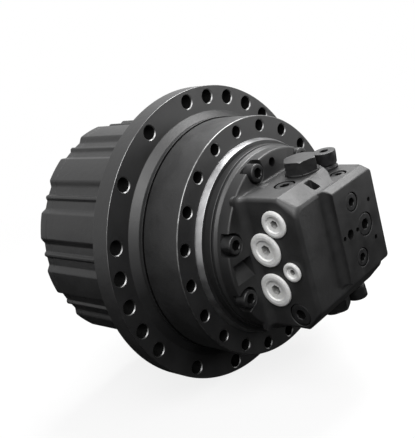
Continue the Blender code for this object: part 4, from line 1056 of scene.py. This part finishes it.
# %% Valve cover flange
disc_corners = [(0, valve_cover_start), (rim_radius, valve_cover_start),
                (rim_radius, valve_cover_start - rim_length), (disc_radius, valve_cover_start - disc_place),
                (disc_radius, disc_face), (0, disc_face)]
disc_mesh = spun(disc_corners, disc_rounds, steps=320)
cover_mesh = combined(disc_mesh, block_mesh, "UNION")
cover_mesh = combined(cover_mesh, pad_mesh, "UNION")
print("flange, block and pad", len(cover_mesh.polygons), "faces")

# %% [markdown]
# ## Pockets and ports of the valve cover
#
# The pockets of the screws are slots that open outwards, so a spanner's socket fits over each
# head. On the left lies a hollow in the casting. The ports and plugs take their places as shares of
# the faces they lie on, which is how they were read off the photograph.

# %% Places on the block
def between(low, high, share):
    """The value that lies a share of the way from low to high."""
    return low + (high - low) * share


def side_place(along, up):
    """A place on the block's left side."""
    return (block_left, between(disc_face, block_front, along), between(block_bottom, block_high, up))


def pad_place(across, up):
    """A place on the pad's face."""
    return (between(pad_left, pad_right, across), pad_front, between(pad_bottom, pad_top, up))


def top_place(across, along, height):
    """A place on top of the block."""
    return (between(block_left, block_right, across), between(disc_face, block_front, along), height)


# %% Slots of the screws
screw_circle, screw_seat = 0.1240, -0.0365
screw_turns = np.radians([20, 57, 107, 160, 200, 253, 287, 340])
slot_half, slot_outside = 0.0165, 0.1600
slot_rows = [(screw_seat, -0.0025), (screw_seat - 0.0006, -0.0007), (screw_seat - 0.0025, 0),
             (disc_face + 0.0012, 0), (disc_face - 0.0012, 0.0020), (-0.0660, 0.0060)]


def slot_cutter(turn):
    """A slot along the radius at an angle: round at the inner end, open at the outer end.

    Each of its rows is a place along Y and how much wider the slot is there.
    """
    sweep = np.linspace(np.pi / 2, 3 * np.pi / 2, 25)
    rows = []
    for place, extra in slot_rows:
        half = slot_half + extra
        arc = np.stack([screw_circle + half * np.cos(sweep), half * np.sin(sweep)], -1)
        points = np.concatenate([arc, [[slot_outside, -half], [slot_outside, half]]])
        rows.append(np.insert(points, 1, place, axis=1))
    return moved(closed_mesh(np.stack(rows)), spin=-turn)


cover_mesh = cut(cover_mesh, [slot_cutter(turn) for turn in screw_turns])
print(len(screw_turns), "slots,", len(cover_mesh.polygons), "faces")

# %% Hollows in the casting
hollow_sides = (-0.1300, -0.0930)
hollow_section = [(-0.0700, 0.0165), (-0.0330, 0.0140), (-0.0330, 0.0070), (-0.0514, -0.0150),
                  (-0.0700, -0.0372)]
hollow_rounds = [0, 0.0020, 0.0020, 0, 0]
casting_hole_radius, casting_hole_place = 0.0062, (0.0020, disc_face, 0.1208)


def pocket_cutter(low, high, corner_radius, floor_radius, steps=6):
    """A cutter that opens upwards: a rounded rectangle for its section, and a rounded floor."""
    corners = np.array([(low[0], low[1]), (high[0], low[1]), (high[0], high[1]), (low[0], high[1])])
    inwards = np.sign(corners.mean(0) - corners)
    rise = np.linspace(0, floor_radius, steps)
    insets = np.append(quarter(rise, floor_radius), 0)
    heights = np.append(low[2] + rise, high[2])
    rows = [np.insert(rounded(corners + inwards * inset, corner_radius), 2, height, axis=1)
            for inset, height in zip(insets, heights)]
    return closed_mesh(np.stack(rows))


hollow_points = rounded(hollow_section, hollow_rounds)
hollow = closed_mesh(np.stack([np.insert(hollow_points, 0, side, axis=1) for side in hollow_sides]))
slope_pocket = pocket_cutter(low=(-0.0240, -0.1380, 0.0760), high=(-0.0090, -0.1210, 0.1300),
                             corner_radius=0.0030, floor_radius=0.0020)
casting_hole = moved(drill(casting_hole_radius, depth=0.0220, chamfer=0.0006), casting_hole_place)
cover_mesh = cut(cover_mesh, [hollow, slope_pocket, casting_hole])
print("hollow, pocket and hole,", len(cover_mesh.polygons), "faces")

# %% Ports, plug seats and tapped holes
port_plugs = {
    "port_plug_top": (0.0410, side_place(0.579, 0.818)),
    "port_plug_upper": (0.0525, side_place(0.290, 0.616)),
    "port_plug_lower": (0.0525, side_place(0.286, 0.305)),
    "port_plug_drain": (0.0290, side_place(0.698, 0.463)),
}
flush_plugs = {
    "side_plug": (0.0340, to_left, side_place(0.625, 0.120)),
    "end_plug_upper": (0.0270, to_front, pad_place(0.401, 0.799)),
    "end_plug_middle": (0.0340, to_front, pad_place(0.605, 0.493)),
    "end_plug_lower": (0.0270, to_front, pad_place(0.383, 0.191)),
    "top_plug_high": (0.0300, to_top, top_place(0.305, 0.463, block_high)),
    "top_plug_low": (0.0230, to_top, top_place(0.768, 0.831, block_low)),
}
relief_shares, spool_shares = (0.888, 0.493), (0.594, 0.419)
relief_places = {to_top: top_place(*relief_shares, block_low),
                 to_bottom: top_place(*relief_shares, block_bottom)}
tap_radius, port_radius, stem_share = 0.0030, 0.00635, 0.68
tap_shares = ((0.796, 0.711), (0.391, 0.499), (0.063, 0.501), (0.787, 0.289))
tap_places = [pad_place(*shares) for shares in tap_shares]
port_place = pad_place(0.210, 0.504)
flush_gap = 0.0004
spool_radius, spool_seat_radius = 0.0116, 0.0168
spool_below, spool_low, spool_high, spool_above = -0.1080, -0.0827, 0.0797, 0.1100
shaft_pocket_radius, shaft_pocket_floor, shaft_pocket_mouth = 0.0215, -0.0623, -0.0200

spool_bore = stairs(0, spool_below, spool_seat_radius, spool_low, spool_radius, spool_high, spool_seat_radius,
                    spool_above, 0)
shaft_pocket = stairs(0, shaft_pocket_floor, shaft_pocket_radius, shaft_pocket_mouth, 0)
ports = [moved(drill(size / 2 * stem_share + seat_gap, depth=0.0260, chamfer=0.0020, point=0), place, to_left)
         for size, place in port_plugs.values()]
ports += [moved(drill(size / 2 + flush_gap, depth=0.0143, chamfer=0.0006, point=0, steps=72), place, towards)
          for size, towards, place in flush_plugs.values()]
ports += [moved(drill(radius=0.0123, depth=0.0203, point=0), place, towards)
          for towards, place in relief_places.items()]
ports.append(moved(closed_mesh(turned(spool_bore, steps=48)), top_place(*spool_shares, 0), to_bottom))
ports.append(closed_mesh(turned(shaft_pocket, steps=48)))
taps = [moved(drill(tap_radius, depth=0.0120, chamfer=0.0004, steps=28), place) for place in tap_places]
taps.append(moved(drill(port_radius, depth=0.0160, chamfer=0.0008), port_place))
cover_mesh = cut(cut(cover_mesh, ports), taps)
print(len(ports), "ports and seats,", len(taps), "small holes,", len(cover_mesh.polygons), "faces")

# %% Valve cover finish
hole_margin, seat_margin = 0.0009, 0.0006
seat_depth = 0.0160
disc_side_margin, disc_side_start = 0.0004, 0.0030
# Each kind of hole: its radius, its places, and the place along Y that its walls stay in front of.
bores = [(tap_radius, tap_places, block_front), (port_radius, [port_place], block_front),
         (casting_hole_radius, [casting_hole_place], 0)]


def cover_finish(centres, normals):
    """Milled paint on the pad, turned paint on the flange, painted shade in holes and plug seats, cast paint
    elsewhere.
    """
    radius, along = round_the_axis(centres)
    chosen = np.full(len(along), CAST)
    chosen[along < pad_front + hair] = MILLED
    chosen[(radius > disc_radius - disc_side_margin) & (along > disc_face + disc_side_start)] = TURNED
    chosen[np.abs(along - disc_face) < hair] = TURNED
    # Painted shade: the walls of the holes get the near-black.
    for hole_radius, places, reach in bores:
        in_hole = near_holes(centres, normals, np.array(places)[:, (0, 2)], hole_radius + hole_margin)
        chosen[in_hole & (along < reach)] = RECESS_SHADE
    # Painted shade: the walls of the seats round the flush plugs get the near-black.
    for size, towards, place in flush_plugs.values():
        ahead, beside = off_axis(centres, place, towards)
        in_seat = (beside < size / 2 + seat_margin) & (ahead > -seat_depth) & (ahead < hair)
        chosen[in_seat & (np.abs(normals @ towards) < looks_along)] = RECESS_SHADE
    return chosen


dress("valve_cover_casting", cover_mesh, "case", ["valve_cover"], casting_finishes,
      cover_finish, sharp=24)

# %% [markdown]
# ## Screws and plugs
#
# Most kinds are a turned outline with a hexagon socket cut out, made again at each place. The
# heads of the cap screws have a rounded rim, the flush plugs sit a little under the face with
# a fine gap round them, and the white plastic plugs are dished, with a ring. The two plugs over
# the spool have an outer hexagon instead, on a collar and a stem.

# %% Cap screws
head_radius, head_height, head_foot = 0.0135, 0.0180, 0.0006
head_socket = (0.0140, 0.0090, 0.0012)
head_turn = 0.35
head_bulge = 0.0004
head_corners = [(0, head_bulge), (head_radius - head_foot, 0), (head_radius, -head_foot),
                (head_radius, -head_height), (0, -head_height)]
head_rounds = [0, 0, 0.0004, 0.0022, 0]
for number, turn in enumerate(screw_turns):
    place = around(screw_circle, turn, screw_seat - seat_gap)
    dress_socketed(f"cap_screw_{number + 1}", f"cover_screw_{number + 1}", "case", head_corners, head_rounds,
                   72, head_socket, -head_height, place, to_front, spin=socket_spin + head_turn * number)

# %% White port plugs
rim = 0.0050
stem_end = 0.0160
dish, ring_foot, ring_crown = -rim + 0.0034, -rim + 0.0030, -rim + 0.0006
socket_mouth = -rim + 0.0033
# Painted shade: this limit and the socket's width pick the faces of a plug's socket that get the grey.
socket_shade_start = rim - 0.0036
cap_spin = 0.4
reference_size = 0.041
mouth_share = 0.31
cap_corners = np.array([(0, stem_end), (stem_share, stem_end), (stem_share, -seat_gap), (1, -seat_gap),
                        (1, -0.80 * rim), (0.80, -rim), (0.62, ring_crown), (0.58, ring_foot),
                        (0.36, dish), (0, dish)])
cap_rounds = np.array([0, 0, 0, 0.0012, 0.0026, 0.0040, 0.0007, 0.0008, 0.0015, 0])
cap_socket = np.array([(0, -0.0030), (mouth_share * 1.25, -0.0030), (mouth_share, 0), (0.23, 0.0110),
                       (0, 0.0115)])
for name, (size, place) in port_plugs.items():
    scale = (size / 2, 1)
    rounds = cap_rounds * min(1, size / reference_size)
    plug = spun(cap_corners * scale, rounds, steps=120)
    socket = moved(closed_mesh(turned(cap_socket * scale, steps=6)), (0, socket_mouth, 0), spin=cap_spin)
    plug = moved(combined(plug, socket, "DIFFERENCE"), place, to_left)

    def in_dish(centres, normals):
        """The faces of the socket, which get painted shade in grey."""
        ahead, beside = off_axis(centres, place, to_left)
        return (ahead < socket_shade_start) & (beside < mouth_share * size / 2)

    dress(name + "_cap", plug, "case", [name], [plug_white, plug_painted_shade], in_dish)

# %% Flush plugs
flush_slack, flush_slack_on_top = 0.0006, 0.0014
flush_recess, flush_end = 0.0010, 0.0140
flush_socket_share, flush_socket_depth, flush_socket_chamfer = 0.42, 0.0070, 0.0014
for name, (size, towards, place) in flush_plugs.items():
    radius = size / 2 - (flush_slack_on_top if towards == to_top else flush_slack)
    corners = stairs(0, flush_end, radius, flush_recess, 0)
    socket = (flush_socket_share * size, flush_socket_depth, flush_socket_chamfer)
    dress_socketed(name + "_body", name, "case", corners, [0, 0, 0.0012, 0], 96, socket, flush_recess, place,
                   towards)

# %% Hexagon plugs over the spool
hex_lift, hex_spin = 0.0023, -0.13
collar_radius, collar_height = 0.0255, 0.0030
stem_radius, stem_start, stem_depth = 0.0165, -0.0010, 0.0200
collar_corners = stairs(0, -seat_gap, collar_radius, -collar_height, 0)
stem_corners = stairs(0, stem_start, stem_radius, stem_depth, 0)
hex_plugs = {"hex_plug_top": (to_top, block_high), "hex_plug_bottom": (to_bottom, block_bottom)}
for name, (towards, height) in hex_plugs.items():
    head = hex_head(across_flats=0.0450, height=0.0190, slope=0.5, round_share=1.05)
    head = moved(head, (0, -hex_lift, 0))
    collar = spun(collar_corners, [0, 0.0003, 0.0010, 0], steps=96)
    stem = closed_mesh(turned(stem_corners, steps=48))
    plug = moved(one_mesh([head, collar, stem]), spin=hex_spin)
    plug = moved(plug, top_place(*spool_shares, height), towards)
    dress(name + "_head", plug, "case", [name], [screw_black], sharp=head_sharp)

# %% Relief valve caps
relief_height = 0.0273
relief_socket = (0.0120, 0.0080, 0.0010)
relief_stem, relief_stem_end, relief_collar = 0.0120, 0.0200, 0.0160
relief_neck, relief_skirt, relief_shoulder, relief_crown = 0.0138, 0.0158, 0.0168, 0.0170
relief_corners = [(0, relief_stem_end), (relief_stem, relief_stem_end), (relief_stem, -seat_gap),
                  (relief_collar, -seat_gap), (relief_collar, -0.0035), (relief_neck, -0.0052),
                  (relief_neck, -0.0068), (relief_skirt, -0.0082), (relief_shoulder, -0.0200),
                  (relief_crown, -relief_height), (0, -relief_height)]
relief_rounds = [0, 0, 0, 0.0004, 0.0008, 0.0008, 0.0008, 0.0010, 0.0040, 0.0010, 0]
for name, towards in (("relief_cap_top", to_top), ("relief_cap_bottom", to_bottom)):
    dress_socketed(name + "_body", name, "case", relief_corners, relief_rounds, 96, relief_socket,
                   -relief_height, relief_places[towards], towards)

# %% Set the colour view and finish
bpy.context.scene.view_settings.view_transform = "Standard"
bpy.context.view_layer.update()
